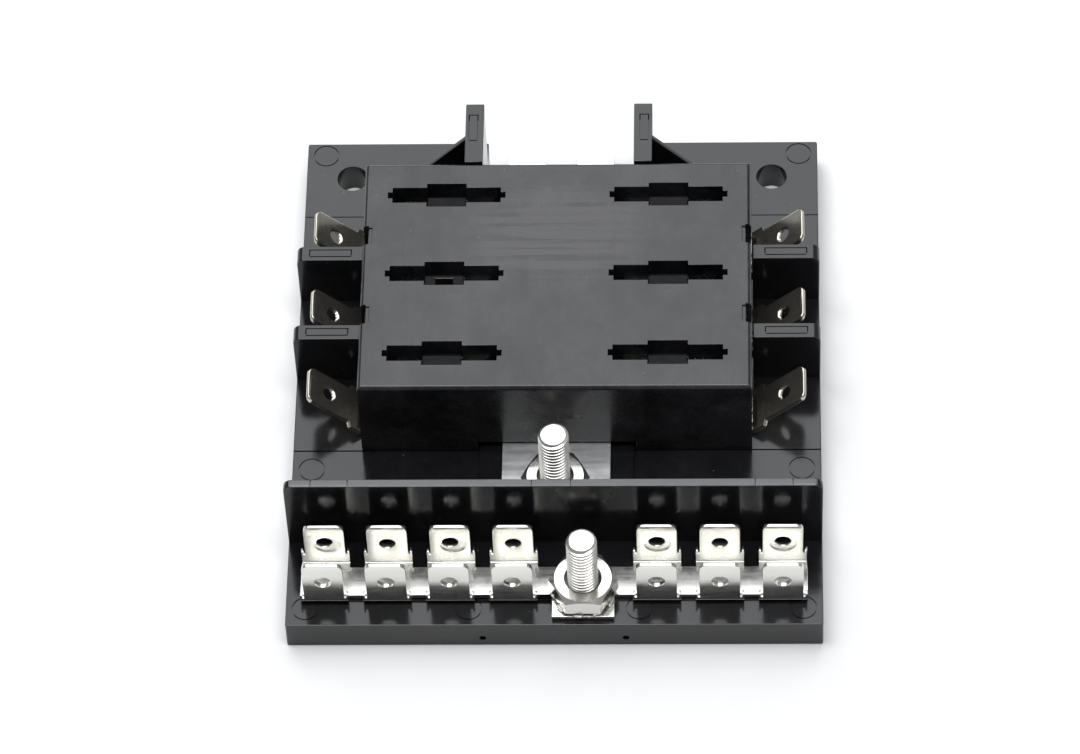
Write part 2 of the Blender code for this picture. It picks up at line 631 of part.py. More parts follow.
def main():
    for obj in list(bpy.data.objects):
        bpy.data.objects.remove(obj)
    for collection in (PANEL, CUTTERS):
        bpy.context.scene.collection.children.link(collection)
    black = material("black_thermoplastic", (0.022, 0.022, 0.024), 0.35, 0.0)
    housing_black = material("housing_thermoplastic", (0.024, 0.024, 0.026), 0.35, 0.0)
    tin = material("tin_plated_brass", (0.78, 0.77, 0.74), 0.3, 1.0)
    clip_tin = material("clip_tin", (0.74, 0.73, 0.70), 0.35, 1.0)
    nickel = material("nickel_plated_steel", (0.72, 0.71, 0.69), 0.25, 1.0)
    screw_zinc = material("zinc_plated_steel", (0.62, 0.63, 0.64), 0.35, 1.0)
    base_plate(black)
    fuse_housing(housing_black)
    positive_bus_bar(tin)
    bus_clips(clip_tin)
    load_terminals(tin)
    ground_bus_bar(tin)
    for spec in (POWER, GROUND):
        stud(spec, nickel)
        lock_washer(spec, nickel)
        hex_nut(spec, nickel)
    housing_screws(screw_zinc)
    smooth_round_pieces()


main()
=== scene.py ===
"""Looks of the fuse box panel: finished meshes, materials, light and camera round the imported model.

Sizes are in millimetres, in panel coordinates: x from the centre line, y from the front edge towards
the rear, z above the base's floor. panel() turns them into the frame's metres.
"""
from math import cos, pi, radians, sin, tan

import bmesh
import bpy
from mathutils import Matrix, Vector


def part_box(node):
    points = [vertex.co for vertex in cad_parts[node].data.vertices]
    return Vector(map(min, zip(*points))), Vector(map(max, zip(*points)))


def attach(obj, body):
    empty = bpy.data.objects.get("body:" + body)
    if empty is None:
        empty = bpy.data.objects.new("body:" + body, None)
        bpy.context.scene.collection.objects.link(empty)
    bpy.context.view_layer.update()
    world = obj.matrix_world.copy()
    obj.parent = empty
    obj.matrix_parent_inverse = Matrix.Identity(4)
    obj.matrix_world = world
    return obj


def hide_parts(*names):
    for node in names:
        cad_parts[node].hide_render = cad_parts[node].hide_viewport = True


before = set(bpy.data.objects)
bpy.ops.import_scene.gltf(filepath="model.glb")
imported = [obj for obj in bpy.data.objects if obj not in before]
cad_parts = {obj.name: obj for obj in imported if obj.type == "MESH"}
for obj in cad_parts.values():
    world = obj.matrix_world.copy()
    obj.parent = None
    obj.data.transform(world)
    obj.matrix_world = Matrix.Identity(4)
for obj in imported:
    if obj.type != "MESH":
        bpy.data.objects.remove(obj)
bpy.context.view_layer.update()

MM = 0.001
BASE_T = 5.7                  # thickness of the base under its floor
BASE_LOW, BASE_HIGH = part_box("base_plate")
ORIGIN = Vector(((BASE_LOW.x + BASE_HIGH.x) / 2, BASE_LOW.y, BASE_LOW.z + BASE_T * MM))


def panel(x, y, z):
    """Frame position of a point in panel coordinates."""
    return ORIGIN + Vector((x, y, z)) * MM


def node_box(node):
    """Lowest and highest corner of a CAD node in panel coordinates."""
    low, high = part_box(node)
    return (low - ORIGIN) / MM, (high - ORIGIN) / MM


def centre_of(corners):
    """Middle of a node's box, seen from above."""
    low, high = corners
    return (low.x + high.x) / 2, (low.y + high.y) / 2


# Sizes read from the frame
EDGE, BASE_L, FIN_TOP = node_box("base_plate")[1]
HOUSE_LOW, HOUSE_HIGH = node_box("fuse_housing")
HOUSE_HALF, HOUSE_TOP = HOUSE_HIGH.x, HOUSE_HIGH.z
BUS_LOW, BUS_HIGH = node_box("positive_bus_bar")
GROUND_LOW, GROUND_HIGH = node_box("ground_bus_bar")
STUD_BOXES = {name: node_box(f"{name}_stud") for name in ("power", "ground")}
NUT_BOXES = {name: node_box(f"{name}_nut") for name in ("power", "ground")}
WASHER_BOXES = {name: node_box(f"{name}_lock_washer") for name in ("power", "ground")}
TERMINAL_BOXES = [node_box(f"load_terminal_{number}") for number in range(1, 7)]
CLIP_BOXES = [node_box(f"bus_clip_{number}") for number in range(1, 7)]
SCREW_BOXES = [node_box(f"housing_screw_{number}") for number in range(1, 5)]
ROWS = sorted({round(centre_of(corners)[1], 3) for corners in TERMINAL_BOXES})

GAP = 0.2                     # clearance between pieces that touch
HOLE_PLAY = 0.3               # how much wider than a stud or screw its hole is, in radius
REACH = 1.0                   # how far a cutter runs past the face that it opens

# Base
BASE_CORNER = 0.35
DIVIDER_Y, DIVIDER_T, DIVIDER_H = 15.7, 1.4, 15.5
WALL_T, WALL_H, WALL_FRONTS = 2.8, 11.1, (47.4, 63.1)
END_ROUND = 1.3               # rounding of the outer upper corners of divider and walls
PLATFORM_HALF, PLATFORM_H = 12.35, 0.6
TONGUE_HALF, TONGUE_END = 10.2, 90.4
FIN_IN, FIN_OUT, FIN_END = 12.2, 15.2, 90.4
GUSSET_Y, GUSSET_T, GUSSET_REACH = 83.6, 0.9, 14.7
MOUNT_R, MOUNT_X, MOUNT_YS = 2.45, 34.6, (22.8, 88.15)
SEAM_Y, SEAM_W, SEAM_DEPTH = 33.15, 0.25, 0.4
CORE_X, CORE_YS, CORE_DEPTH = (3.0, 23.6), ((36.0, 45.6), (50.9, 61.3), (66.6, 76.0)), 2.8
CORE_ROUND = 1.0
HEAD_POCKET_R, SCREW_POCKET_R, SCREW_POCKET = 4.8, 2.9, 2.4
BASE_BEVEL = 0.16
RIM_BREAK = 0.08              # broken edge round the mounting holes

# Moulding marks on the base
MARK, MARK_DEPTH = 0.18, 0.24   # width and depth of a fine moulding line
FRAME_MARK_DEPTH = 0.8          # depth of the fine rectangles on the walls and fins
EJECTOR_R = 2.05
EJECTOR_SITES = ((39.1, 92.9), (39.1, 29.7), (39.1, 3.15), (13.4, 3.1))
STEP_LINE_Y = 80.1
PANEL_MARK_L, PANEL_MARK_W, PANEL_MARK_START = 6.9, 1.5, 2.0
FIN_MARK_INSETS, FIN_MARK_ENDS = (0.5, 2.1), (7.6, 2.2)   # from a fin's outer face and from its rear end
DIVIDER_TICKS = (-37.9, -32.1, -3.3, 2.8, 31.6, 37.5)
PIN_X, PIN_Z, PIN_R, PIN_DEPTH = 11.25, -3.7, 0.55, 0.5

# Housing
HOUSE_ROUND, HOUSE_BEVEL = 0.7, 0.12
HOUSE_WALL, CEILING, RIB = 2.2, 12.7, 0.8
SLOT_X = 17.9
WELL_IN, WELL_OUT, WELL_HALF = 3.05, 8.7, 1.45
NOTCH_LENGTH, NOTCH_HALF = 0.75, 0.55
WAIST_HALF, WAIST_HALF_Y = 3.15, 2.25
LEDGE_DEPTH, POCKET_DEPTH = 0.8, 3.5
LEDGE_RECESS = (2.8, 1.3, 2.6)   # small sink in the ledge of one slot: across, along and deep
EDGE_NOTCH_W, EDGE_NOTCH_D, EDGE_NOTCH_YS = 3.6, 0.9, (48.1, 63.8)
EDGE_STEP, EDGE_STEP_DEPTH = 0.55, 0.3   # shallow step inside each edge notch
BOSS_R, PILOT_R, PILOT_SPARE = 2.6, 1.55, 0.6

# Sheet metal
SHEET = 0.8
SHEET_BEVEL = 0.1
BLADE_HALF, BLADE_CORNER = 3.175, 1.1
BLADE_HOLE_FROM_TIP = 4.3
TIP_PINCH_L, TIP_PINCH = 0.42, 0.4   # the coined tip: its length, and the share of thickness it loses
CLIP_W, CLIP_T = 5.0, 0.5
CLIP_HALF, CLIP_WAIST, CLIP_MOUTH, CLIP_BEND = 1.3, 0.6, 1.25, 0.6
CLIP_SINK = 0.35              # how deep a clip's foot sits in its load terminal
FUSE_BLADE_X = 4.65

# Positive bus
BUS_HALF, EAR_HALF = 8.65, 2.8
BUS_SPLIT_HALF, BUS_SPLIT_Y = 2.55, 80.5

# Load terminals
TAB_BEND_X, TAB_ANGLE, TAB_TIP, TAB_BEND_R = 31.2, radians(45), 43.0, 0.4
TAB_SHOULDER_HALF, TAB_SHOULDER_END = 4.1, 34.0
TAB_HOLE_R = 1.1
FOOT_START, FOOT_HALF = 19.9, 2.7
HOLE_LIP = 0.28               # width of the worn lip round a load terminal's hole

# Ground bus
GROUND_Y0, GROUND_Y1, GROUND_REAR_BEND = 5.0, 10.3, 11.1
GROUND_PITCH, GROUND_FIRST, GROUND_FOURTH = 9.88, -36.03, 16.15
GROUND_BEND_R = 0.2
SHOULDER_HALF, REAR_SHOULDER_H, FRONT_SHOULDER_H = 3.8, 3.8, 2.5
RELIEF_W, RELIEF_DEPTH, HOOK_ROUND = 0.28, 0.75, 0.14
LUG_HALF = 4.9
GROUND_HOLE_R = 1.3
DISH_R, DISH_FLOOR_R, DISH_DEPTH = 2.15, 1.72, 0.24
DISH_SHIFTS = ((0.45, -0.2), (0.45, -0.25), (0.1, -0.3), (0.05, -0.25))

# Studs, nuts and lock washers
STUD_R, PITCH, THREAD_DEPTH = 2.415, 0.794, 0.487
# places in one pitch, with the share of the thread's height there: flat root, rising flank, flat crest
THREAD_FORM = ((0.0, 0.0), (0.22, 0.0), (0.48, 1.0), (0.76, 1.0))
STUD_HEAD_R, STUD_HEAD_T, STUD_CHAMFER = 4.4, 2.2, 0.42
NUT_FLATS, NUT_RING_R, NUT_SINK_R = 9.53, 4.5, 3.0
NUT_THREAD_IN, NUT_THREAD_OUT = 2.49, 2.86
WASHER_ROOT, WASHER_BORE, WASHER_TEETH, TOOTH_TWIST = 4.4, 2.75, 10, 0.13

# Screws
SCREW_R, SCREW_HEAD_R, SCREW_HEAD_T, SCREW_HEAD_ROUND = 1.3, 2.5, 1.6, 0.9
RECESS_HALF_L, RECESS_HALF_W, RECESS_DEPTH = 1.4, 0.3, 0.9


# ---- mesh tools

def link(obj):
    """Put an object into the scene."""
    bpy.context.scene.collection.objects.link(obj)


def scratch_object(bm):
    mesh = bpy.data.meshes.new("scratch")
    bm.to_mesh(mesh)
    bm.free()
    obj = bpy.data.objects.new("scratch", mesh)
    link(obj)
    return obj


def remove_object(obj):
    mesh = obj.data
    bpy.data.objects.remove(obj)
    bpy.data.meshes.remove(mesh)


def carve(bm, *steps):
    """Join closed meshes to a first one or cut them from it, in order; returns the new mesh."""
    target = scratch_object(bm)
    tools = []
    for operation, tool in steps:
        tools.append(scratch_object(tool))
        mod = target.modifiers.new("carve", "BOOLEAN")
        mod.operation = operation
        mod.solver = "EXACT"
        mod.object = tools[-1]
    depsgraph = bpy.context.evaluated_depsgraph_get()
    result = bmesh.new()
    result.from_object(target, depsgraph)
    for obj in tools + [target]:
        remove_object(obj)
    return result


def cut(bm, *tools):
    """Cut closed meshes from a first one, in order; returns the new mesh."""
    return carve(bm, *(("DIFFERENCE", tool) for tool in tools))


def merge(*parts):
    """Put several meshes into one without joining their surfaces."""
    combined = bmesh.new()
    for bm in parts:
        mesh = bpy.data.meshes.new("part")
        bm.to_mesh(mesh)
        bm.free()
        combined.from_mesh(mesh)
        bpy.data.meshes.remove(mesh)
    return combined


def round_edges(bm, width, segments=2, least_angle=28):
    """Round every outer edge that is sharper than least_angle."""
    bmesh.ops.dissolve_limit(bm, angle_limit=radians(0.4), verts=bm.verts, edges=bm.edges)
    edges = [e for e in bm.edges
             if e.is_manifold and e.is_convex and e.calc_face_angle() > radians(least_angle)]
    bmesh.ops.bevel(bm, geom=edges, offset=width * MM, segments=segments, profile=0.5,
                    affect="EDGES", clamp_overlap=False)
    return bm


def add_box(bm, low, high):
    a, b = panel(*low), panel(*high)
    size = Matrix.Diagonal((*(b - a), 1.0))
    return bmesh.ops.create_cube(bm, size=1.0, matrix=Matrix.Translation((a + b) / 2) @ size)["verts"]


def box(low, high):
    bm = bmesh.new()
    add_box(bm, low, high)
    return bm


AXIS_TURNS = {"y": Matrix.Rotation(-pi / 2, 4, "X"), "z": Matrix.Identity(4)}


def add_cone(bm, start, axis, length, r_start, r_end, segments=48, turn=0.0):
    """Closed cone or cylinder from a start point along y or z."""
    direction = AXIS_TURNS[axis] @ Vector((0, 0, 1))
    middle = panel(*start) + direction * length * MM / 2
    matrix = Matrix.Translation(middle) @ AXIS_TURNS[axis] @ Matrix.Rotation(turn, 4, "Z")
    bmesh.ops.create_cone(bm, cap_ends=True, segments=segments, radius1=r_start * MM,
                          radius2=r_end * MM, depth=length * MM, matrix=matrix)


def cylinder(x, y, z0, z1, radius, segments=48, turn=0.0):
    bm = bmesh.new()
    add_cone(bm, (x, y, z0), "z", z1 - z0, radius, radius, segments, turn)
    return bm


DRAWN_IN = {"XY": lambda u, v, w: (u, v, w),
            "XZ": lambda u, v, w: (u, w, v),
            "YZ": lambda u, v, w: (w, u, v)}


def prism(points, start, end, plane="XY"):
    """Closed prism on an outline that is drawn in the named plane."""
    bm = bmesh.new()
    rings = [[bm.verts.new(panel(*DRAWN_IN[plane](u, v, w))) for u, v in points] for w in (start, end)]
    for ring in rings:
        bm.faces.new(ring)
    for k in range(len(points)):
        j = (k + 1) % len(points)
        bm.faces.new((rings[0][k], rings[0][j], rings[1][j], rings[1][k]))
    bmesh.ops.recalc_face_normals(bm, faces=bm.faces)
    return bm


def arc(x, y, radius, start, end, steps):
    """Points on an arc, angles in degrees."""
    angles = [radians(start + (end - start) * k / steps) for k in range(steps + 1)]
    return [(x + radius * cos(a), y + radius * sin(a)) for a in angles]


def rounded_rectangle(x0, y0, x1, y1, radius, steps=5):
    return (arc(x1 - radius, y0 + radius, radius, -90, 0, steps)
            + arc(x1 - radius, y1 - radius, radius, 0, 90, steps)
            + arc(x0 + radius, y1 - radius, radius, 90, 180, steps)
            + arc(x0 + radius, y0 + radius, radius, 180, 270, steps))


def circle(x, y, radius, segments=32):
    return arc(x, y, radius, 0, 360 - 360 / segments, segments - 1)


def sheet(outlines, thickness):
    """Flat sheet from closed outlines, holes included, about its own origin and resting on z = 0."""
    curve = bpy.data.curves.new("outline", "CURVE")
    curve.dimensions = "2D"
    curve.fill_mode = "BOTH"
    curve.extrude = thickness * MM / 2
    for outline in outlines:
        spline = curve.splines.new("POLY")
        spline.points.add(len(outline) - 1)
        for point, (x, y) in zip(spline.points, outline):
            point.co = (x * MM, y * MM, 0.0, 1.0)
        spline.use_cyclic_u = True
    carrier = bpy.data.objects.new("outline", curve)
    link(carrier)
    depsgraph = bpy.context.evaluated_depsgraph_get()
    mesh = bpy.data.meshes.new_from_object(carrier.evaluated_get(depsgraph))
    bm = bmesh.new()
    bm.from_mesh(mesh)
    bmesh.ops.remove_doubles(bm, verts=bm.verts, dist=1e-6)
    bmesh.ops.recalc_face_normals(bm, faces=bm.faces)
    bmesh.ops.translate(bm, verts=bm.verts, vec=(0, 0, thickness * MM / 2))
    bpy.data.objects.remove(carrier)
    bpy.data.curves.remove(curve)
    bpy.data.meshes.remove(mesh)
    return bm


def slice_mesh(bm, axis, at):
    """Add an edge loop where the mesh crosses a coordinate."""
    point, normal = Vector((0, 0, 0)), Vector((0, 0, 0))
    point[axis] = at
    normal[axis] = 1.0
    geometry = bm.verts[:] + bm.edges[:] + bm.faces[:]
    bmesh.ops.bisect_plane(bm, geom=geometry, dist=1e-7, plane_co=point, plane_no=normal)


def fold(bm, axis, sign, start, angle, radius, steps=6, where=None):
    """Bend a flat sheet upwards past a line; where picks the vertices that move."""
    neutral = (radius + SHEET / 2) * MM
    centre_z = (radius + SHEET) * MM
    length = neutral * angle
    for step in range(steps + 1):
        slice_mesh(bm, axis, sign * (start * MM + length * step / steps))
    for vert in bm.verts:
        run = sign * vert.co[axis] - start * MM
        if run <= 1e-8 or (where and not where(vert.co)):
            continue
        turn = min(run / neutral, angle)
        straight = max(run - length, 0.0)
        reach = centre_z - vert.co.z
        vert.co[axis] = sign * (start * MM + reach * sin(turn) + straight * cos(angle))
        vert.co.z = centre_z - reach * cos(turn) + straight * sin(angle)


def pinch_tip(bm, axis, sign, tip, where=None):
    """Thin a blade's last stretch to its coined tip."""
    start = (tip - TIP_PINCH_L) * MM
    slice_mesh(bm, axis, sign * start)
    middle = SHEET * MM / 2
    for vert in bm.verts:
        share = (sign * vert.co[axis] - start) / (TIP_PINCH_L * MM)
        if share > 1e-4 and (where is None or where(vert.co)):
            vert.co.z = middle + (vert.co.z - middle) * (1 - TIP_PINCH * min(share, 1.0))


def place(bm, x, y, z, turn=0.0):
    """Move a piece made about its own origin to its place on the panel."""
    matrix = Matrix.Translation(panel(x, y, z)) @ Matrix.Rotation(turn, 4, "Z")
    bmesh.ops.transform(bm, matrix=matrix, verts=bm.verts)
    return bm


def turned(profile, x, y, segments=48):
    """Closed turned solid from (radius, z) points that start and end on the axis."""
    bm = bmesh.new()
    rings = []
    for radius, z in profile:
        if radius == 0:
            rings.append([bm.verts.new(panel(x, y, z))])
        else:
            rings.append([bm.verts.new(panel(x + u, y + v, z)) for u, v in circle(0, 0, radius, segments)])
    for low, high in zip(rings, rings[1:]):
        for k in range(segments):
            j = (k + 1) % segments
            corners = [low[k % len(low)], low[j % len(low)], high[j % len(high)], high[k % len(high)]]
            bm.faces.new(list(dict.fromkeys(corners)))
    bmesh.ops.recalc_face_normals(bm, faces=bm.faces)
    return bm


def thread(x, y, z0, z1, outer, depth, top_chamfer=0.0, segments=64):
    """Closed right-handed screw thread: rows of points follow the helix, then both ends are cut flat."""
    bm = bmesh.new()
    rows = []
    for turn in range(int((z1 - z0) / PITCH) + 3):
        for at, rise in THREAD_FORM:
            points = []
            for k in range(segments):
                z = z0 + (turn + at - 1 + k / segments) * PITCH
                radius = outer - depth * (1 - rise)
                if top_chamfer:
                    radius = min(radius, outer - max(0.0, z - (z1 - top_chamfer)))
                angle = 2 * pi * k / segments
                points.append(bm.verts.new(panel(x + radius * cos(angle), y + radius * sin(angle), z)))
            rows.append(points)
    pitch_rows = len(THREAD_FORM)
    for row in range(len(rows) - 1 - pitch_rows):
        for k in range(segments):
            ahead, step = (row + pitch_rows, 0) if k == segments - 1 else (row, k + 1)
            bm.faces.new((rows[row][k], rows[ahead][step], rows[ahead + 1][step], rows[row + 1][k]))
    for at, side in ((z0, -1), (z1, 1)):
        geometry = bm.verts[:] + bm.edges[:] + bm.faces[:]
        bmesh.ops.bisect_plane(bm, geom=geometry, dist=1e-8, plane_co=panel(x, y, at),
                               plane_no=(0, 0, side), clear_outer=True)
    loose = [v for v in bm.verts if not v.link_faces]
    bmesh.ops.delete(bm, geom=loose, context="VERTS")
    bmesh.ops.edgeloop_fill(bm, edges=[e for e in bm.edges if e.is_boundary])
    bmesh.ops.recalc_face_normals(bm, faces=bm.faces)
    return bm


def finish_piece(name, bm, material, slot, body, *nodes, smooth=35, inlay=None):
    """Turn a mesh into a piece of the visual model that stands for CAD nodes and rides on a body.

    inlay is a second material and the test that picks its faces.
    """
    mesh = bpy.data.meshes.new(name)
    bm.to_mesh(mesh)
    bm.free()
    mesh.materials.append(material)
    if inlay:
        second, belongs = inlay
        mesh.materials.append(second)
        for face in mesh.polygons:
            face.material_index = int(belongs(face))
    mesh.shade_smooth()
    mesh.set_sharp_from_angle(angle=radians(smooth))
    obj = bpy.data.objects.new(name, mesh)
    link(obj)
    weighted = obj.modifiers.new("weighted", "WEIGHTED_NORMAL")
    weighted.keep_sharp = True
    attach(obj, body)
    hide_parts(*nodes)
    return obj


# ---- materials

class Shader:
    """A Principled material with a few node helpers."""

    def __init__(self, name, roughness, metallic=0.0, **values):
        self.material = bpy.data.materials.new(name)
        self.material.use_nodes = True
        self.nodes = self.material.node_tree.nodes
        self.links = self.material.node_tree.links
        self.surface = self.nodes["Principled BSDF"]
        self.surface.inputs["Roughness"].default_value = roughness
        self.surface.inputs["Metallic"].default_value = metallic
        for socket, value in values.items():
            self.surface.inputs[socket.replace("_", " ")].default_value = value
        self.place = self.nodes.new("ShaderNodeTexCoord").outputs["Object"]

    def stretched(self, scale):
        mapping = self.nodes.new("ShaderNodeMapping")
        mapping.inputs["Scale"].default_value = scale
        self.links.new(self.place, mapping.inputs["Vector"])
        return mapping.outputs["Vector"]

    def noise(self, scale, detail=3.0, roughness=0.55, stretch=None, distortion=0.0):
        node = self.nodes.new("ShaderNodeTexNoise")
        node.inputs["Scale"].default_value = scale
        node.inputs["Detail"].default_value = detail
        node.inputs["Roughness"].default_value = roughness
        node.inputs["Distortion"].default_value = distortion
        self.links.new(self.stretched(stretch) if stretch else self.place, node.inputs["Vector"])
        return node.outputs["Fac"]

    def specks(self, scale, share):
        """1 inside small scattered dots, 0 elsewhere."""
        node = self.nodes.new("ShaderNodeTexVoronoi")
        node.inputs["Scale"].default_value = scale
        self.links.new(self.place, node.inputs["Vector"])
        return self.ranged(node.outputs["Distance"], share, share * 0.5, 0.0, 1.0)

    def near(self, middle, reach):
        """1 at a point of the frame, falling to 0 at a distance; both in metres."""
        mapping = self.nodes.new("ShaderNodeMapping")
        mapping.vector_type = "TEXTURE"
        mapping.inputs["Location"].default_value = middle
        mapping.inputs["Scale"].default_value = reach
        node = self.nodes.new("ShaderNodeTexGradient")
        node.gradient_type = "SPHERICAL"
        self.links.new(self.place, mapping.inputs["Vector"])
        self.links.new(mapping.outputs["Vector"], node.inputs["Vector"])
        return node.outputs["Fac"]

    def ranged(self, value, low, high, to_low, to_high):
        node = self.nodes.new("ShaderNodeMapRange")
        sockets = ("From Min", "From Max", "To Min", "To Max")
        for socket, number in zip(sockets, (low, high, to_low, to_high)):
            node.inputs[socket].default_value = number
        self.links.new(value, node.inputs["Value"])
        return node.outputs["Result"]

    def maths(self, operation, a, b):
        node = self.nodes.new("ShaderNodeMath")
        node.operation = operation
        for socket, value in zip(node.inputs, (a, b)):
            if isinstance(value, (int, float)):
                socket.default_value = value
            else:
                self.links.new(value, socket)
        return node.outputs["Value"]

    def mixed(self, factor, a, b):
        node = self.nodes.new("ShaderNodeMix")
        node.data_type = "RGBA"
        self.links.new(factor, node.inputs["Factor"])
        for socket, value in ((node.inputs[6], a), (node.inputs[7], b)):
            if isinstance(value, tuple):
                socket.default_value = (*value, 1.0)
            else:
                self.links.new(value, socket)
        return node.outputs[2]

    def feed(self, socket, value):
        self.links.new(value, self.surface.inputs[socket])

    def bumps(self, *layers):
        """Chain of bumps; each layer is a height and its full depth in millimetres."""
        normal = None
        for height, depth in layers:
            node = self.nodes.new("ShaderNodeBump")
            node.inputs["Strength"].default_value = 1.0
            node.inputs["Distance"].default_value = depth * MM
            self.links.new(height, node.inputs["Height"])
            if normal:
                self.links.new(normal, node.inputs["Normal"])
            normal = node.outputs["Normal"]
        self.feed("Normal", normal)


def moulded_plastic(name, dark, light, gloss, rub, patch=None):
    """Black thermoplastic: even gloss broken by flow marks, fine rubs and a little dust.

    patch is the middle and the reach, in metres, of an area that is rubbed dull along x.
    """
    s = Shader(name, gloss, IOR=1.5)
    flow = s.noise(38, 5, 0.62, stretch=(1.0, 0.5, 1.0), distortion=0.5)
    clouds = s.noise(190, 5, 0.7)
    grain = s.noise(2600, 2, 0.5)
    scuffs = s.noise(420, 5, 0.7, stretch=(1.0, 0.08, 1.0))
    dust = s.specks(420, 0.045)
    mask = s.ranged(s.maths("ADD", flow, s.maths("MULTIPLY", clouds, 0.6)), 0.62, 1.05, 0.0, 1.0)
    if patch:
        brushed = s.noise(900, 4, 0.65, stretch=(0.04, 1.0, 1.0))
        worn = s.maths("MULTIPLY", s.near(*patch), s.ranged(brushed, 0.4, 0.62, 0.0, 2.2))
        mask = s.maths("ADD", mask, worn)
    s.feed("Base Color", s.mixed(dust, s.mixed(mask, dark, light), (0.12, 0.118, 0.115)))
    rough = s.maths("ADD", s.ranged(clouds, 0.3, 0.7, gloss - 0.03, gloss + 0.05),
                    s.ranged(scuffs, 0.5, 0.72, 0.0, rub))
    s.feed("Roughness", s.maths("ADD", rough, s.ranged(grain, 0.3, 0.7, 0.0, 0.03)))
    s.bumps((grain, 0.0012), (clouds, 0.004), (dust, 0.006))
    return s.material


def rough_plastic(name, gloss, shine, dark, light):
    """The same thermoplastic where the mould was left rough or handling has dulled it."""
    s = Shader(name, gloss, Specular_IOR_Level=shine)
    grain = s.noise(2400, 3, 0.7, stretch=(0.25, 1.0, 1.0))
    s.feed("Base Color", s.mixed(grain, dark, light))
    s.feed("Roughness", s.ranged(grain, 0.35, 0.65, gloss - 0.1, gloss + 0.1))
    s.bumps((grain, 0.012))
    return s.material


def plated_metal(name, dull, bright, gloss, streak_axis):
    """Tin or nickel plate over stamped metal: fine rolling streaks, soft clouds, small tarnish spots."""
    s = Shader(name, gloss, metallic=0.96)
    stretch = [1.0, 1.0, 1.0]
    stretch["XYZ".index(streak_axis)] = 0.05
    streaks = s.noise(1500, 3, 0.6, stretch=tuple(stretch))
    clouds = s.noise(420, 4, 0.6, distortion=0.5)
    spots = s.specks(900, 0.07)
    colour = s.mixed(clouds, dull, bright)
    s.feed("Base Color", s.mixed(s.maths("MULTIPLY", spots, 0.16), colour, (0.35, 0.33, 0.3)))
    s.feed("Roughness", s.maths("ADD", s.ranged(clouds, 0.3, 0.7, gloss - 0.03, gloss + 0.03),
                                s.ranged(streaks, 0.35, 0.7, 0.0, 0.07)))
    s.bumps((streaks, 0.001), (clouds, 0.0015))
    return s.material


def make_materials():
    return {
        "base": moulded_plastic("base_black_plastic", (0.004, 0.004, 0.0046), (0.010, 0.010, 0.0115),
                                0.12, 0.06),
        "worn": rough_plastic("divider_worn_plastic", 0.38, 0.7,
                              (0.035, 0.035, 0.037), (0.07, 0.07, 0.074)),
        "housing": moulded_plastic("housing_black_plastic", (0.002, 0.002, 0.0023), (0.032, 0.031, 0.0345),
                                   0.2, 0.12, patch=((0.0, 0.016, 0.022), (0.016, 0.011, 0.01))),
        "texture": rough_plastic("slot_rough_plastic", 0.6, 0.14,
                                 (0.001, 0.001, 0.001), (0.006, 0.006, 0.007)),
        "bus": plated_metal("bus_tin_plate", (0.84, 0.84, 0.84), (0.92, 0.92, 0.91), 0.3, "X"),
        "ground": plated_metal("ground_tin_plate", (0.80, 0.79, 0.75), (0.88, 0.87, 0.83), 0.17, "X"),
        "blade": plated_metal("blade_tin_plate", (0.50, 0.475, 0.41), (0.60, 0.575, 0.51), 0.16, "Z"),
        "clip": plated_metal("clip_tin_plate", (0.50, 0.48, 0.44), (0.60, 0.58, 0.54), 0.33, "Z"),
        # painted shade: a near-black plate laid on the thread roots to darken the grooves where shade falls
        "groove": plated_metal("thread_root_painted_shade", (0.016, 0.015, 0.013), (0.03, 0.028, 0.025), 0.45, "Z"),
        "stud": plated_metal("stud_nickel_plate", (0.62, 0.60, 0.57), (0.70, 0.68, 0.65), 0.27, "Z"),
        "nut": plated_metal("nut_nickel_plate", (0.66, 0.64, 0.60), (0.74, 0.72, 0.68), 0.13, "X"),
        "washer": plated_metal("washer_plate", (0.50, 0.49, 0.46), (0.64, 0.62, 0.58), 0.24, "X"),
        "screw": plated_metal("screw_zinc_plate", (0.55, 0.56, 0.57), (0.68, 0.69, 0.70), 0.3, "X"),
    }


# ---- base

def wall_outline(inner, outer, top):
    """Front view of a wall whose outer upper corner is rounded; inner and outer share a sign."""
    side = 1 if outer > 0 else -1
    corner = arc(abs(outer) - END_ROUND, top - END_ROUND, END_ROUND, 90, 0, 5)
    points = [(abs(inner), -REACH), (abs(inner), top)] + corner + [(abs(outer), -REACH)]
    return [(side * x, z) for x, z in points]


def divider_wall():
    """Tall wall across the base, both upper corners rounded."""
    left = wall_outline(0.0, -EDGE, DIVIDER_H)
    right = wall_outline(0.0, EDGE, DIVIDER_H)
    outline = right[2:] + left[:1:-1]
    return prism(outline, DIVIDER_Y, DIVIDER_Y + DIVIDER_T, "XZ")


def base_walls():
    """Partition walls between the load terminals' bays."""
    parts = []
    for side in (-1, 1):
        for front in WALL_FRONTS:
            outline = wall_outline(side * (HOUSE_HALF + GAP), side * EDGE, WALL_H)
            parts.append(prism(outline, front, front + WALL_T, "XZ"))
    return merge(*parts)


def gussets():
    """Triangular webs that stiffen the rear fins from outside."""
    slope = FIN_TOP / GUSSET_REACH
    parts = []
    for side in (-1, 1):
        outline = [(FIN_OUT - 1.0, -1.0), (FIN_OUT + GUSSET_REACH + 1.0 / slope, -1.0),
                   (FIN_OUT, FIN_TOP - 0.2), (FIN_OUT - 1.0, FIN_TOP - 0.2)]
        parts.append(prism([(side * x, z) for x, z in outline],
                           GUSSET_Y - GUSSET_T / 2, GUSSET_Y + GUSSET_T / 2, "XZ"))
    return merge(*parts)


def fins():
    bm = bmesh.new()
    for side in (-1, 1):
        x0, x1 = sorted((side * FIN_IN, side * FIN_OUT))
        add_box(bm, (x0, HOUSE_HIGH.y + GAP, -4), (x1, FIN_END, FIN_TOP))
    return bm


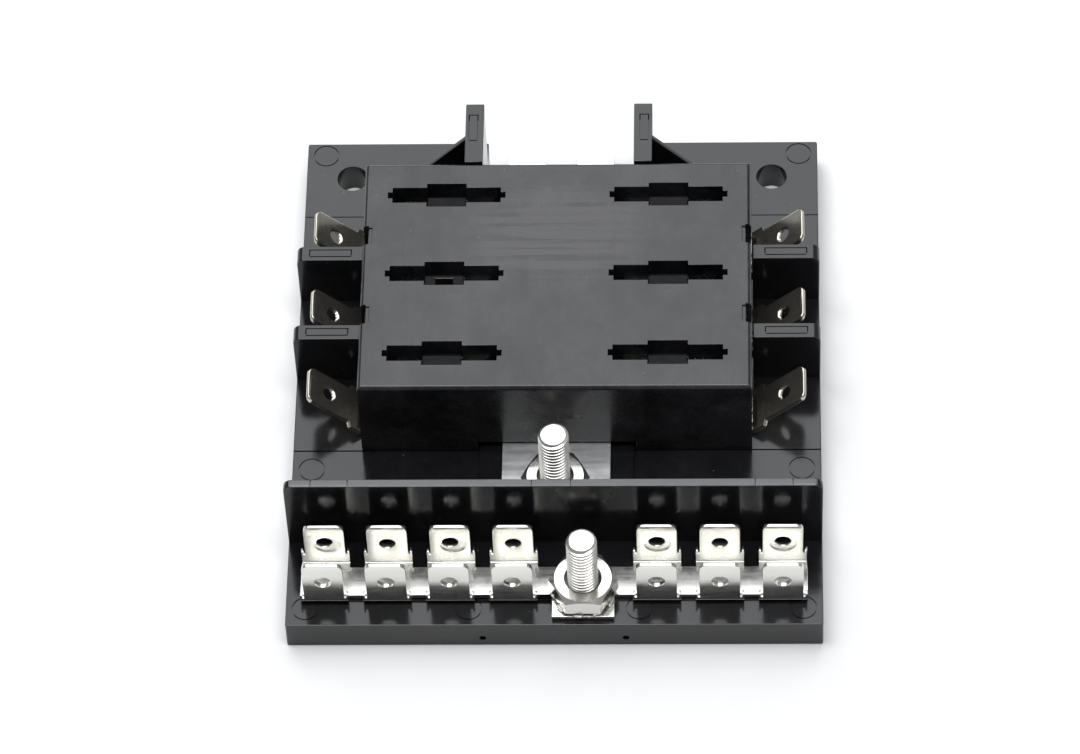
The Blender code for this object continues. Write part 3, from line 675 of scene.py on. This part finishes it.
def through_holes():
    """Mounting holes with a broken rim, and holes for studs and housing screws."""
    parts = []
    for x in (-MOUNT_X, MOUNT_X):
        for y in MOUNT_YS:
            drill = turned([(0, -BASE_T - REACH), (MOUNT_R, -BASE_T - REACH), (MOUNT_R, -RIM_BREAK),
                            (MOUNT_R + 2 * RIM_BREAK, RIM_BREAK), (0, RIM_BREAK)], x, y)
            parts.append(drill)
    for corners in STUD_BOXES.values():
        parts.append(cylinder(*centre_of(corners), -BASE_T, REACH + PLATFORM_H, STUD_R + HOLE_PLAY))
    for corners in SCREW_BOXES:
        parts.append(cylinder(*centre_of(corners), -BASE_T, REACH, SCREW_R + HOLE_PLAY))
    return merge(*parts)


def underside_pockets():
    """Sockets for stud and screw heads, and the coring of the underside."""
    parts = []
    for corners in STUD_BOXES.values():
        parts.append(cylinder(*centre_of(corners), -BASE_T - REACH,
                              corners[0].z + STUD_HEAD_T + GAP, HEAD_POCKET_R))
    for corners in SCREW_BOXES:
        parts.append(cylinder(*centre_of(corners), -BASE_T - REACH, -BASE_T + SCREW_POCKET, SCREW_POCKET_R))
    for side in (-1, 1):
        x0, x1 = sorted((side * CORE_X[0], side * CORE_X[1]))
        for y0, y1 in CORE_YS:
            parts.append(prism(rounded_rectangle(x0, y0, x1, y1, CORE_ROUND),
                               -BASE_T - REACH, -BASE_T + CORE_DEPTH))
    return merge(*parts)


def ring_groove(x, y, z, radius):
    outlines = [circle(0, 0, radius + MARK / 2, 48), circle(0, 0, radius - MARK / 2, 48)]
    return place(sheet(outlines, 2 * MARK_DEPTH), x, y, z - MARK_DEPTH)


def rectangle_groove(x0, y0, x1, y1, z):
    outer = [(x0, y0), (x1, y0), (x1, y1), (x0, y1)]
    inner = [(x0 + MARK, y0 + MARK), (x1 - MARK, y0 + MARK), (x1 - MARK, y1 - MARK), (x0 + MARK, y1 - MARK)]
    return place(sheet([outer, inner], 2 * FRAME_MARK_DEPTH), 0, 0, z - FRAME_MARK_DEPTH)


def moulding_marks():
    """Seam, ejector rings, step lines and inset outlines that the mould leaves on the base."""
    parts = []
    for side in (-1, 1):
        for x, y in EJECTOR_SITES:
            parts.append(ring_groove(side * x, y, 0, EJECTOR_R))
        x0, x1 = sorted((side * PLATFORM_HALF, side * (EDGE + REACH)))
        parts.append(box((x0, SEAM_Y, -SEAM_DEPTH), (x1, SEAM_Y + SEAM_W, REACH)))
        x0, x1 = sorted((side * (HOUSE_HALF - 8), side * (EDGE + REACH)))
        parts.append(box((x0, STEP_LINE_Y, -MARK_DEPTH), (x1, STEP_LINE_Y + MARK, REACH)))
        for front in WALL_FRONTS:
            outer = EDGE - PANEL_MARK_START
            x0, x1 = sorted((side * outer, side * (outer - PANEL_MARK_L)))
            y0 = front + (WALL_T - PANEL_MARK_W) / 2
            parts.append(rectangle_groove(x0, y0, x1, y0 + PANEL_MARK_W, WALL_H))
        x0, x1 = sorted(side * (FIN_OUT - inset) for inset in FIN_MARK_INSETS)
        y0, y1 = (FIN_END - inset for inset in FIN_MARK_ENDS)
        parts.append(rectangle_groove(x0, y0, x1, y1, FIN_TOP))
        pin = bmesh.new()
        add_cone(pin, (side * PIN_X, -REACH, PIN_Z), "y", REACH + PIN_DEPTH, PIN_R, PIN_R, 24)
        parts.append(pin)
    for x in DIVIDER_TICKS:
        parts.append(box((x - MARK / 2, DIVIDER_Y + 0.1, DIVIDER_H - MARK_DEPTH),
                         (x + MARK / 2, DIVIDER_Y + DIVIDER_T - 0.1, DIVIDER_H + REACH)))
    return merge(*parts)


def on_divider(face):
    """Tells the top of the divider wall from the rest of the base."""
    height = (face.center.z - panel(0, 0, DIVIDER_H).z) / MM
    return face.normal.z > 0.9 and abs(height) < 0.05


def make_base(material, worn):
    solid = prism(rounded_rectangle(-EDGE, 0, EDGE, BASE_L, BASE_CORNER), -BASE_T, 0)
    notch = box((-FIN_IN, HOUSE_HIGH.y + 2.2, -BASE_T - REACH), (FIN_IN, BASE_L + REACH, HOUSE_TOP / 2))
    platform = box((-PLATFORM_HALF, DIVIDER_Y + 0.5, -1), (PLATFORM_HALF, HOUSE_HIGH.y, PLATFORM_H))
    tongue = box((-TONGUE_HALF, HOUSE_HIGH.y - 4, -4), (TONGUE_HALF, TONGUE_END, PLATFORM_H))
    solid = carve(solid, ("DIFFERENCE", notch), ("UNION", divider_wall()), ("UNION", base_walls()),
                  ("UNION", platform), ("UNION", tongue), ("UNION", fins()), ("UNION", gussets()))
    round_edges(solid, BASE_BEVEL)
    solid = cut(solid, through_holes(), underside_pockets(), moulding_marks())
    finish_piece("base_moulding", solid, material, "base_plastic", "panel", "base_plate",
                 inlay=(worn, on_divider))


# ---- housing

def housing_cavity():
    """Room under the housing's top, in three bays with ribs between them."""
    half = HOUSE_HALF - HOUSE_WALL
    screw_ys = sorted({round(centre_of(corners)[1], 3) for corners in SCREW_BOXES})
    edges = [HOUSE_LOW.y + HOUSE_WALL, *screw_ys, HOUSE_HIGH.y - HOUSE_WALL]
    bm = bmesh.new()
    for index in range(3):
        y0 = edges[index] + (RIB if index > 0 else 0)
        y1 = edges[index + 1] - (RIB if index < 2 else 0)
        add_box(bm, (-half, y0, -REACH), (half, y1, CEILING))
    return bm


def slot_wells():
    """Openings for the fuses' blades, notched at their outer ends."""
    parts = []
    for column in (-SLOT_X, SLOT_X):
        for row in ROWS:
            for side in (-1, 1):
                half = [(WELL_OUT + NOTCH_LENGTH, NOTCH_HALF), (WELL_OUT, NOTCH_HALF),
                        (WELL_OUT, WELL_HALF), (WELL_IN, WELL_HALF)]
                outline = half + [(x, -y) for x, y in reversed(half)]
                parts.append(prism([(column + side * x, row + y) for x, y in outline],
                                   CEILING - REACH, HOUSE_TOP + REACH))
    return merge(*parts)


def slot_waists(y0, y1, depth):
    """Wider middles of the fuse slots, between two places along y."""
    bm = bmesh.new()
    for column in (-SLOT_X, SLOT_X):
        for row in ROWS:
            add_box(bm, (column - WAIST_HALF, row + y0, HOUSE_TOP - depth),
                    (column + WAIST_HALF, row + y1, HOUSE_TOP + REACH))
    return bm


def edge_notches(inner, outer, margin, floor):
    """Cuts in the housing's upper side edges above the walls, between two distances from x = 0."""
    bm = bmesh.new()
    half = EDGE_NOTCH_W / 2 - margin
    for side in (-1, 1):
        x0, x1 = sorted((side * inner, side * outer))
        for middle in EDGE_NOTCH_YS:
            add_box(bm, (x0, middle - half, floor), (x1, middle + half, HOUSE_TOP + REACH))
    return bm


def housing_passages():
    """Tunnel for the bus bar's platform under the housing's front and rear walls."""
    bm = bmesh.new()
    add_box(bm, (-PLATFORM_HALF - 0.3, HOUSE_LOW.y - REACH, -REACH),
            (PLATFORM_HALF + 0.3, HOUSE_HIGH.y + REACH, BUS_HIGH.z + 0.4))
    return bm


def terminal_passages():
    """Gaps in the side walls where the load terminals come out."""
    bm = bmesh.new()
    for side in (-1, 1):
        for row in ROWS:
            x0, x1 = sorted((side * (HOUSE_HALF - HOUSE_WALL - 1), side * (HOUSE_HALF + REACH)))
            add_box(bm, (x0, row - FOOT_HALF - 0.4, -REACH), (x1, row + FOOT_HALF + 0.4, 1.6))
    return bm


def ledge_recess():
    across, along, depth = LEDGE_RECESS
    top = HOUSE_TOP - LEDGE_DEPTH
    y = ROWS[1] - WAIST_HALF_Y / 2
    return box((-SLOT_X - across / 2, y - along / 2, top - depth),
               (-SLOT_X + across / 2, y + along / 2, top + 0.2))


def in_waist(face):
    """Tells the ledges and pocket floors in the slots from the rest of the housing."""
    depth = (panel(0, 0, HOUSE_TOP).z - face.center.z) / MM
    return face.normal.z > 0.9 and LEDGE_DEPTH / 2 < depth < POCKET_DEPTH + 0.1


def make_housing(material, texture):
    solid = box((-HOUSE_HALF, HOUSE_LOW.y, HOUSE_LOW.z), (HOUSE_HALF, HOUSE_HIGH.y, HOUSE_TOP))
    top = panel(0, 0, HOUSE_TOP).z - 1e-5
    rim = [e for e in solid.edges if min(v.co.z for v in e.verts) > top]
    bmesh.ops.bevel(solid, geom=rim, offset=HOUSE_ROUND * MM, segments=5, profile=0.5, affect="EDGES")
    bosses, pilots = [], []
    for corners in SCREW_BOXES:
        bosses.append(cylinder(*centre_of(corners), GAP, CEILING + REACH, BOSS_R))
        pilots.append(cylinder(*centre_of(corners), -REACH, corners[1].z + PILOT_SPARE, PILOT_R))
    notch = HOUSE_HALF - EDGE_NOTCH_D
    notches = edge_notches(notch, HOUSE_HALF + REACH, 0.0, WALL_H + GAP)
    notch_steps = edge_notches(notch - EDGE_STEP, notch + EDGE_NOTCH_D / 2, 0.3,
                               HOUSE_TOP - EDGE_STEP_DEPTH)
    cutters = [merge(*pilots), housing_passages(), terminal_passages(), notches, notch_steps, slot_wells(),
               slot_waists(-WAIST_HALF_Y, 0.05, LEDGE_DEPTH), slot_waists(0.0, WAIST_HALF_Y, POCKET_DEPTH),
               ledge_recess()]
    solid = carve(solid, ("DIFFERENCE", housing_cavity()), ("UNION", merge(*bosses)),
                  *(("DIFFERENCE", cutter) for cutter in cutters))
    round_edges(solid, HOUSE_BEVEL)
    finish_piece("housing_moulding", solid, material, "housing_plastic", "panel", "fuse_housing",
                 inlay=(texture, in_waist))


# ---- sheet metal

def make_positive_bus(material):
    ear_end, front, rear = BUS_HIGH.x, BUS_LOW.y, BUS_HIGH.y
    right = [(BUS_HALF, front)]
    for row in ROWS:
        right += [(BUS_HALF, row - EAR_HALF), (ear_end, row - EAR_HALF),
                  (ear_end, row + EAR_HALF), (BUS_HALF, row + EAR_HALF)]
    right += [(BUS_HALF, rear - 1), (BUS_HALF - 1, rear), (BUS_SPLIT_HALF + 1, rear),
              (BUS_SPLIT_HALF, rear - 1), (BUS_SPLIT_HALF, BUS_SPLIT_Y)]
    outline = right + [(-x, y) for x, y in reversed(right)]
    hole = circle(*centre_of(STUD_BOXES["power"]), STUD_R + HOLE_PLAY)
    bm = sheet([outline, hole], SHEET)
    pinch_tip(bm, 1, 1, rear)
    round_edges(bm, SHEET_BEVEL)
    place(bm, 0, 0, BUS_LOW.z)
    finish_piece("positive_bus_strip", bm, material, "bus_plate", "panel", "positive_bus_bar")


def clip_outline(foot, top):
    """Side view of a fuse clip: a U of strip whose leaves close in and flare at the mouth."""
    centre = [(0.0, foot + CLIP_T / 2)]
    centre += arc(CLIP_HALF - CLIP_BEND, foot + CLIP_T / 2 + CLIP_BEND, CLIP_BEND, -90, 0, 4)
    for share, y in ((0.45, CLIP_HALF), (0.62, CLIP_HALF - 0.2), (0.78, CLIP_WAIST + 0.12),
                     (0.84, CLIP_WAIST), (0.9, CLIP_WAIST + 0.1), (1.0, CLIP_MOUTH)):
        centre.append((y, foot + (top - foot) * share))
    outer, inner = [], []
    for k, (y, z) in enumerate(centre):
        before, after = centre[max(k - 1, 0)], centre[min(k + 1, len(centre) - 1)]
        along = Vector((after[0] - before[0], after[1] - before[1])).normalized()
        aside = Vector((1.0, 0.0)) if k == len(centre) - 1 else Vector((along.y, -along.x))
        outer.append((y + aside.x * CLIP_T / 2, z + aside.y * CLIP_T / 2))
        inner.append((y - aside.x * CLIP_T / 2, z - aside.y * CLIP_T / 2))
    left = [(-y, z) for y, z in inner[1:] + outer[:0:-1]]
    return outer + inner[::-1] + left


def clip(x, y, foot, top):
    outline = [(y + u, w) for u, w in clip_outline(foot, top)]
    return prism(outline, x - CLIP_W / 2, x + CLIP_W / 2, "YZ")


def make_bus_clips(material):
    for number, (low, high) in enumerate(CLIP_BOXES, 1):
        bm = clip(*centre_of((low, high)), low.z, high.z)
        round_edges(bm, 0.05, 1, 40)
        finish_piece(f"bus_clip_spring_{number}", bm, material, "clip_plate", "panel", f"bus_clip_{number}")


def tab_outline():
    """Flat pattern of a load terminal, running out along +x."""
    tip = TAB_TIP - BLADE_CORNER
    upper = ([(FOOT_START, FOOT_HALF), (TAB_BEND_X - 0.1, FOOT_HALF)]
             + arc(TAB_BEND_X + 0.3, TAB_SHOULDER_HALF - 0.4, 0.4, 180, 90, 3)
             + arc(TAB_SHOULDER_END - 0.3, TAB_SHOULDER_HALF - 0.3, 0.3, 90, 0, 3)
             + [(TAB_SHOULDER_END + 0.25, BLADE_HALF)]
             + arc(tip, BLADE_HALF - BLADE_CORNER, BLADE_CORNER, 90, 0, 5))
    return upper + [(x, -y) for x, y in reversed(upper)]


def make_load_terminals(material):
    for number, (low, high) in enumerate(TERMINAL_BOXES, 1):
        side = 1 if low.x > 0 else -1
        row = centre_of((low, high))[1]
        hole_x = TAB_TIP - BLADE_HOLE_FROM_TIP
        bm = sheet([tab_outline(), circle(hole_x, 0, TAB_HOLE_R)], SHEET)
        pinch_tip(bm, 0, 1, TAB_TIP)
        bm = cut(bm, hole_lips(hole_x, 0))
        fold(bm, 0, 1, TAB_BEND_X, TAB_ANGLE, TAB_BEND_R)
        round_edges(bm, SHEET_BEVEL)
        place(bm, 0, row, low.z, 0.0 if side > 0 else pi)
        spring = clip(side * (SLOT_X + FUSE_BLADE_X), row, low.z + SHEET - CLIP_SINK, high.z)
        bm = carve(bm, ("UNION", spring))
        finish_piece(f"load_terminal_blade_{number}", bm, material, "blade_plate", "panel",
                     f"load_terminal_{number}")


def hole_lips(x, y):
    """Cones that break the edges of a blade's hole, about the sheet's own origin."""
    bm = bmesh.new()
    for z, r0, r1 in ((-0.1, TAB_HOLE_R + HOLE_LIP + 0.1, TAB_HOLE_R - 0.05),
                      (SHEET - HOLE_LIP - 0.05, TAB_HOLE_R - 0.05, TAB_HOLE_R + HOLE_LIP + 0.1)):
        depth = HOLE_LIP + 0.15
        middle = Matrix.Translation(Vector((x, y, z + depth / 2)) * MM)
        bmesh.ops.create_cone(bm, cap_ends=True, segments=32, radius1=r0 * MM, radius2=r1 * MM,
                              depth=depth * MM, matrix=middle)
    return bm


def ground_blade_xs():
    left = [GROUND_FIRST + GROUND_PITCH * k for k in range(4)]
    right = [GROUND_FOURTH + GROUND_PITCH * k for k in range(3)]
    return left + right


def ground_blade(x, edge, sign, length, shoulder):
    """Outline of one blade from left to right, standing out of the strip's edge."""
    height = GROUND_HIGH.z
    top = length - height + shoulder
    hook = BLADE_HALF + RELIEF_W
    tip = length - BLADE_CORNER
    rise = ([(-SHOULDER_HALF, 0)]
            + arc(-SHOULDER_HALF + HOOK_ROUND, top - HOOK_ROUND, HOOK_ROUND, 180, 90, 2)
            + [(-hook, top), (-hook, top - RELIEF_DEPTH)]
            + arc(-hook + RELIEF_W / 2, top - RELIEF_DEPTH, RELIEF_W / 2, 180, 360, 4)[1:-1]
            + [(-BLADE_HALF, top - RELIEF_DEPTH)]
            + arc(-BLADE_HALF + BLADE_CORNER, tip, BLADE_CORNER, 180, 90, 5))
    points = rise + [(-dx, dy) for dx, dy in reversed(rise)]
    return [(x + dx, edge + sign * dy) for dx, dy in points]


def ground_flat_pattern(front_length, rear_length):
    """Outline and holes of the ground bus before it is bent."""
    lug_x, stud_y = centre_of(STUD_BOXES["ground"])
    lug_front = GROUND_LOW.y
    front = [(x, ground_blade(x, GROUND_Y0, -1, front_length, FRONT_SHOULDER_H)) for x in ground_blade_xs()]
    lug = ([(lug_x - LUG_HALF, GROUND_Y0), (lug_x - LUG_HALF, lug_front),
            (lug_x + LUG_HALF, lug_front), (lug_x + LUG_HALF, GROUND_Y0)])
    front.append((lug_x, lug))
    front.sort(key=lambda entry: entry[0])
    outline = [(GROUND_LOW.x, GROUND_Y0)]
    for _, points in front:
        outline += points
    outline += [(GROUND_HIGH.x, GROUND_Y0), (GROUND_HIGH.x, GROUND_Y1)]
    for x in reversed(ground_blade_xs()):
        outline += ground_blade(x, GROUND_Y1, 1, rear_length, REAR_SHOULDER_H)[::-1]
    outline.append((GROUND_LOW.x, GROUND_Y1))
    holes = [circle(lug_x, stud_y, STUD_R + HOLE_PLAY)]
    for x in ground_blade_xs():
        holes.append(circle(x, GROUND_Y0 - front_length + BLADE_HOLE_FROM_TIP, GROUND_HOLE_R, 24))
        holes.append(circle(x, GROUND_Y1 + rear_length - BLADE_HOLE_FROM_TIP, GROUND_HOLE_R, 24))
    return [outline] + holes


def dished_holes():
    """Shallow dishes pressed round the holes of every other rear blade, a little off their middles."""
    bm = bmesh.new()
    face = GROUND_REAR_BEND + GROUND_BEND_R
    z = GROUND_HIGH.z - BLADE_HOLE_FROM_TIP
    flare = (DISH_R - DISH_FLOOR_R) / DISH_DEPTH * 0.1
    for x, (dx, dz) in zip(ground_blade_xs()[::2], DISH_SHIFTS):
        add_cone(bm, (x + dx, face - 0.1, z + dz), "y", 0.1 + DISH_DEPTH, DISH_R + flare, DISH_FLOOR_R)
    return bm


def make_ground_bus(material):
    """Stamped strip with a row of blades bent up from each edge and a lug for the stud."""
    lug_x = centre_of(STUD_BOXES["ground"])[0]
    saved = (GROUND_BEND_R + SHEET) - (GROUND_BEND_R + SHEET / 2) * pi / 2
    front_length = GROUND_HIGH.z - GAP - saved
    rear_length = front_length + GROUND_REAR_BEND - GROUND_Y1
    bm = sheet(ground_flat_pattern(front_length, rear_length), SHEET)

    def off_lug(co):
        return abs(co.x / MM - lug_x) > LUG_HALF + 0.1

    pinch_tip(bm, 1, -1, front_length - GROUND_Y0, where=off_lug)
    pinch_tip(bm, 1, 1, GROUND_Y1 + rear_length)
    fold(bm, 1, -1, -GROUND_Y0, pi / 2, GROUND_BEND_R, where=off_lug)
    fold(bm, 1, 1, GROUND_REAR_BEND, pi / 2, GROUND_BEND_R)
    place(bm, 0, 0, GROUND_LOW.z)
    bm = cut(bm, dished_holes())
    round_edges(bm, 0.08)
    finish_piece("ground_bus_strip", bm, material, "bus_plate", "panel", "ground_bus_bar")


# ---- fasteners

def make_stud(name, material, shadow):
    """Rolled-thread stud with a hexagonal head pressed into the underside; its thread roots carry painted
    shade.
    """
    low, high = STUD_BOXES[name]
    x, y = centre_of(STUD_BOXES[name])
    middle = panel(x, y, 0).xy

    # faces deep in the thread's groove take the painted shade material
    def in_groove(face):
        reach = (face.center.xy - middle).length / MM
        return abs(face.normal.z) < 0.5 and reach < STUD_R - 0.8 * THREAD_DEPTH

    screw = thread(x, y, -1.0, high.z, STUD_R, THREAD_DEPTH, STUD_CHAMFER)
    head = cylinder(x, y, low.z, low.z + STUD_HEAD_T, STUD_HEAD_R, 6)
    round_edges(head, 0.2)
    shank = cylinder(x, y, low.z + STUD_HEAD_T - 0.5, -0.6, STUD_R - 0.15)
    bm = merge(screw, shank, head)
    finish_piece(f"{name}_stud_thread", bm, material, "stud_plate", "panel", f"{name}_stud", smooth=30,
                 inlay=(shadow, in_groove))


def make_nut(name, material):
    """Hexagon nut, turned down at its top to a bright ring, with a countersunk thread."""
    low, high = NUT_BOXES[name]
    x, y = centre_of(NUT_BOXES[name])
    corner_r = NUT_FLATS / 2 / cos(pi / 6)
    drop = (corner_r + 0.3 - NUT_RING_R) * tan(radians(32))
    blank = cylinder(x, y, low.z, high.z, corner_r, 6, pi / 6)
    cap = turned([(0, low.z - 0.1), (corner_r - 0.25, low.z - 0.1), (corner_r + 0.3, low.z + 0.4),
                  (corner_r + 0.3, high.z - drop), (NUT_RING_R, high.z), (0, high.z)], x, y, 96)
    bore = thread(x, y, low.z - 0.5, high.z + 0.5, NUT_THREAD_OUT, NUT_THREAD_OUT - NUT_THREAD_IN)
    sink = bmesh.new()
    add_cone(sink, (x, y, high.z - 0.45), "z", 0.6, NUT_THREAD_IN, NUT_SINK_R + 0.15)
    bm = carve(blank, ("INTERSECT", cap), ("DIFFERENCE", bore), ("DIFFERENCE", sink))
    finish_piece(f"{name}_hex_nut", bm, material, "nut_plate", f"{name}_nut", f"{name}_nut", smooth=25)


def make_lock_washer(name, material):
    """External-tooth lock washer; each tooth is twisted a little out of flat."""
    low, high = WASHER_BOXES[name]
    x, y = centre_of(WASHER_BOXES[name])
    outer = high.x - x
    points = []
    for tooth in range(WASHER_TEETH):
        for share, radius in ((0.0, outer - 0.12), (0.06, outer), (0.4, outer), (0.46, outer - 0.12),
                              (0.55, WASHER_ROOT), (0.92, WASHER_ROOT)):
            angle = 2 * pi * (tooth + share) / WASHER_TEETH
            points.append((radius * cos(angle), radius * sin(angle)))
    bm = sheet([points, circle(0, 0, WASHER_BORE, 40)], high.z - low.z)
    round_edges(bm, 0.07)
    for vert in bm.verts:
        radius = vert.co.to_2d().length / MM
        if radius > WASHER_ROOT:
            share = (vert.co.to_2d().angle_signed(Vector((1, 0))) / (2 * pi) * WASHER_TEETH) % 1.0
            twist = (share - 0.23) * 4 * (radius - WASHER_ROOT) / (outer - WASHER_ROOT)
            vert.co.z += twist * TOOTH_TWIST * MM
    place(bm, x, y, low.z)
    finish_piece(f"{name}_tooth_washer", bm, material, "washer_plate", f"{name}_washer",
                 f"{name}_lock_washer")


def make_housing_screws(material):
    """Pan-head cross-recess screws driven up into the housing."""
    for number, (low, high) in enumerate(SCREW_BOXES, 1):
        x, y = centre_of((low, high))
        under = low.z + SCREW_HEAD_T
        profile = [(0, low.z), (SCREW_HEAD_R - SCREW_HEAD_ROUND, low.z)]
        profile += [(SCREW_HEAD_R - SCREW_HEAD_ROUND + SCREW_HEAD_ROUND * sin(radians(a)),
                     low.z + SCREW_HEAD_ROUND - SCREW_HEAD_ROUND * cos(radians(a)))
                    for a in (22, 45, 68, 90)]
        profile += [(SCREW_HEAD_R, under), (SCREW_R, under)]
        crest, root = SCREW_R, SCREW_R - 0.3
        z = under + 0.4
        while z < high.z - 1.6:
            profile += [(root, z), (crest, z + 0.25), (root, z + 0.5)]
            z += 1.0
        profile += [(root, high.z - 1.4), (0.35, high.z - 0.1), (0, high.z)]
        arms = [box((x - u, y - v, low.z - 0.5), (x + u, y + v, low.z + RECESS_DEPTH))
                for u, v in ((RECESS_HALF_L, RECESS_HALF_W), (RECESS_HALF_W, RECESS_HALF_L))]
        bm = cut(turned(profile, x, y, 32), *arms)
        finish_piece(f"housing_pan_screw_{number}", bm, material, "screw_plate", "panel",
                     f"housing_screw_{number}", smooth=30)


# ---- stage

FLOOR_HALF = 1500
CAMERA_AIM, CAMERA_DISTANCE = (-2.94, 47.69, 0), 952.7


def add_floor():
    floor = scratch_object(box((-FLOOR_HALF, -FLOOR_HALF, -BASE_T - 0.5),
                               (FLOOR_HALF, FLOOR_HALF, -BASE_T - 0.02)))
    floor.name = "studio_floor"
    s = Shader("studio_floor", 0.6)
    s.surface.inputs["Specular IOR Level"].default_value = 0.2
    s.feed("Base Color", s.mixed(s.noise(3.0), (0.72, 0.715, 0.71), (0.74, 0.735, 0.73)))
    floor.data.materials.append(s.material)


def add_area_light(name, position, size, radiance, colour):
    """Rectangular soft light of a given radiance, facing the panel; distances in metres."""
    light = bpy.data.lights.new(name, "AREA")
    light.shape = "RECTANGLE"
    light.size, light.size_y = size
    light.energy = radiance * pi * size[0] * size[1]
    light.color = colour
    obj = bpy.data.objects.new(name, light)
    obj.location = position
    obj.rotation_euler = (-Vector(position)).to_track_quat("-Z", "Y").to_euler()
    link(obj)


def add_lights():
    world = bpy.data.worlds.new("studio")
    world.use_nodes = True
    world.node_tree.nodes["Background"].inputs["Color"].default_value = (0.95, 0.975, 1.0, 1.0)
    world.node_tree.nodes["Background"].inputs["Strength"].default_value = 0.3
    bpy.context.scene.world = world
    add_area_light("rear_softbox", (-0.15, 0.75, 1.05), (1.3, 1.3), 2.6, (0.965, 0.98, 1.0))
    add_area_light("overhead_key", (-0.05, -0.12, 1.1), (1.1, 0.4), 7.6, (0.96, 0.98, 1.0))


def add_camera():
    elevation, yaw, roll = radians(54.42), radians(-3.37), radians(-2.98)
    forward = Vector((cos(elevation) * sin(yaw), cos(elevation) * cos(yaw), -sin(elevation)))
    level = forward.cross(Vector((0, 0, 1))).normalized()
    upright = level.cross(forward)
    right = level * cos(roll) + upright * sin(roll)
    up = upright * cos(roll) - level * sin(roll)
    matrix = Matrix((right, up, -forward)).transposed().to_4x4()
    matrix.translation = panel(*CAMERA_AIM) - forward * CAMERA_DISTANCE * MM
    data = bpy.data.cameras.new("camera")
    data.lens, data.sensor_width = 196.96, 36.0
    data.clip_start, data.clip_end = 0.01, 20.0
    camera = bpy.data.objects.new("camera", data)
    camera.matrix_world = matrix
    link(camera)
    bpy.context.scene.camera = camera


def main():
    bpy.context.scene.view_settings.view_transform = "Standard"
    add_camera()
    add_lights()
    add_floor()
    materials = make_materials()
    make_base(materials["base"], materials["worn"])
    make_housing(materials["housing"], materials["texture"])
    make_positive_bus(materials["bus"])
    make_bus_clips(materials["clip"])
    make_load_terminals(materials["blade"])
    make_ground_bus(materials["ground"])
    for name in ("power", "ground"):
        make_stud(name, materials["stud"], materials["groove"])
        make_nut(name, materials["nut"])
        make_lock_washer(name, materials["washer"])
    make_housing_screws(materials["screw"])


main()
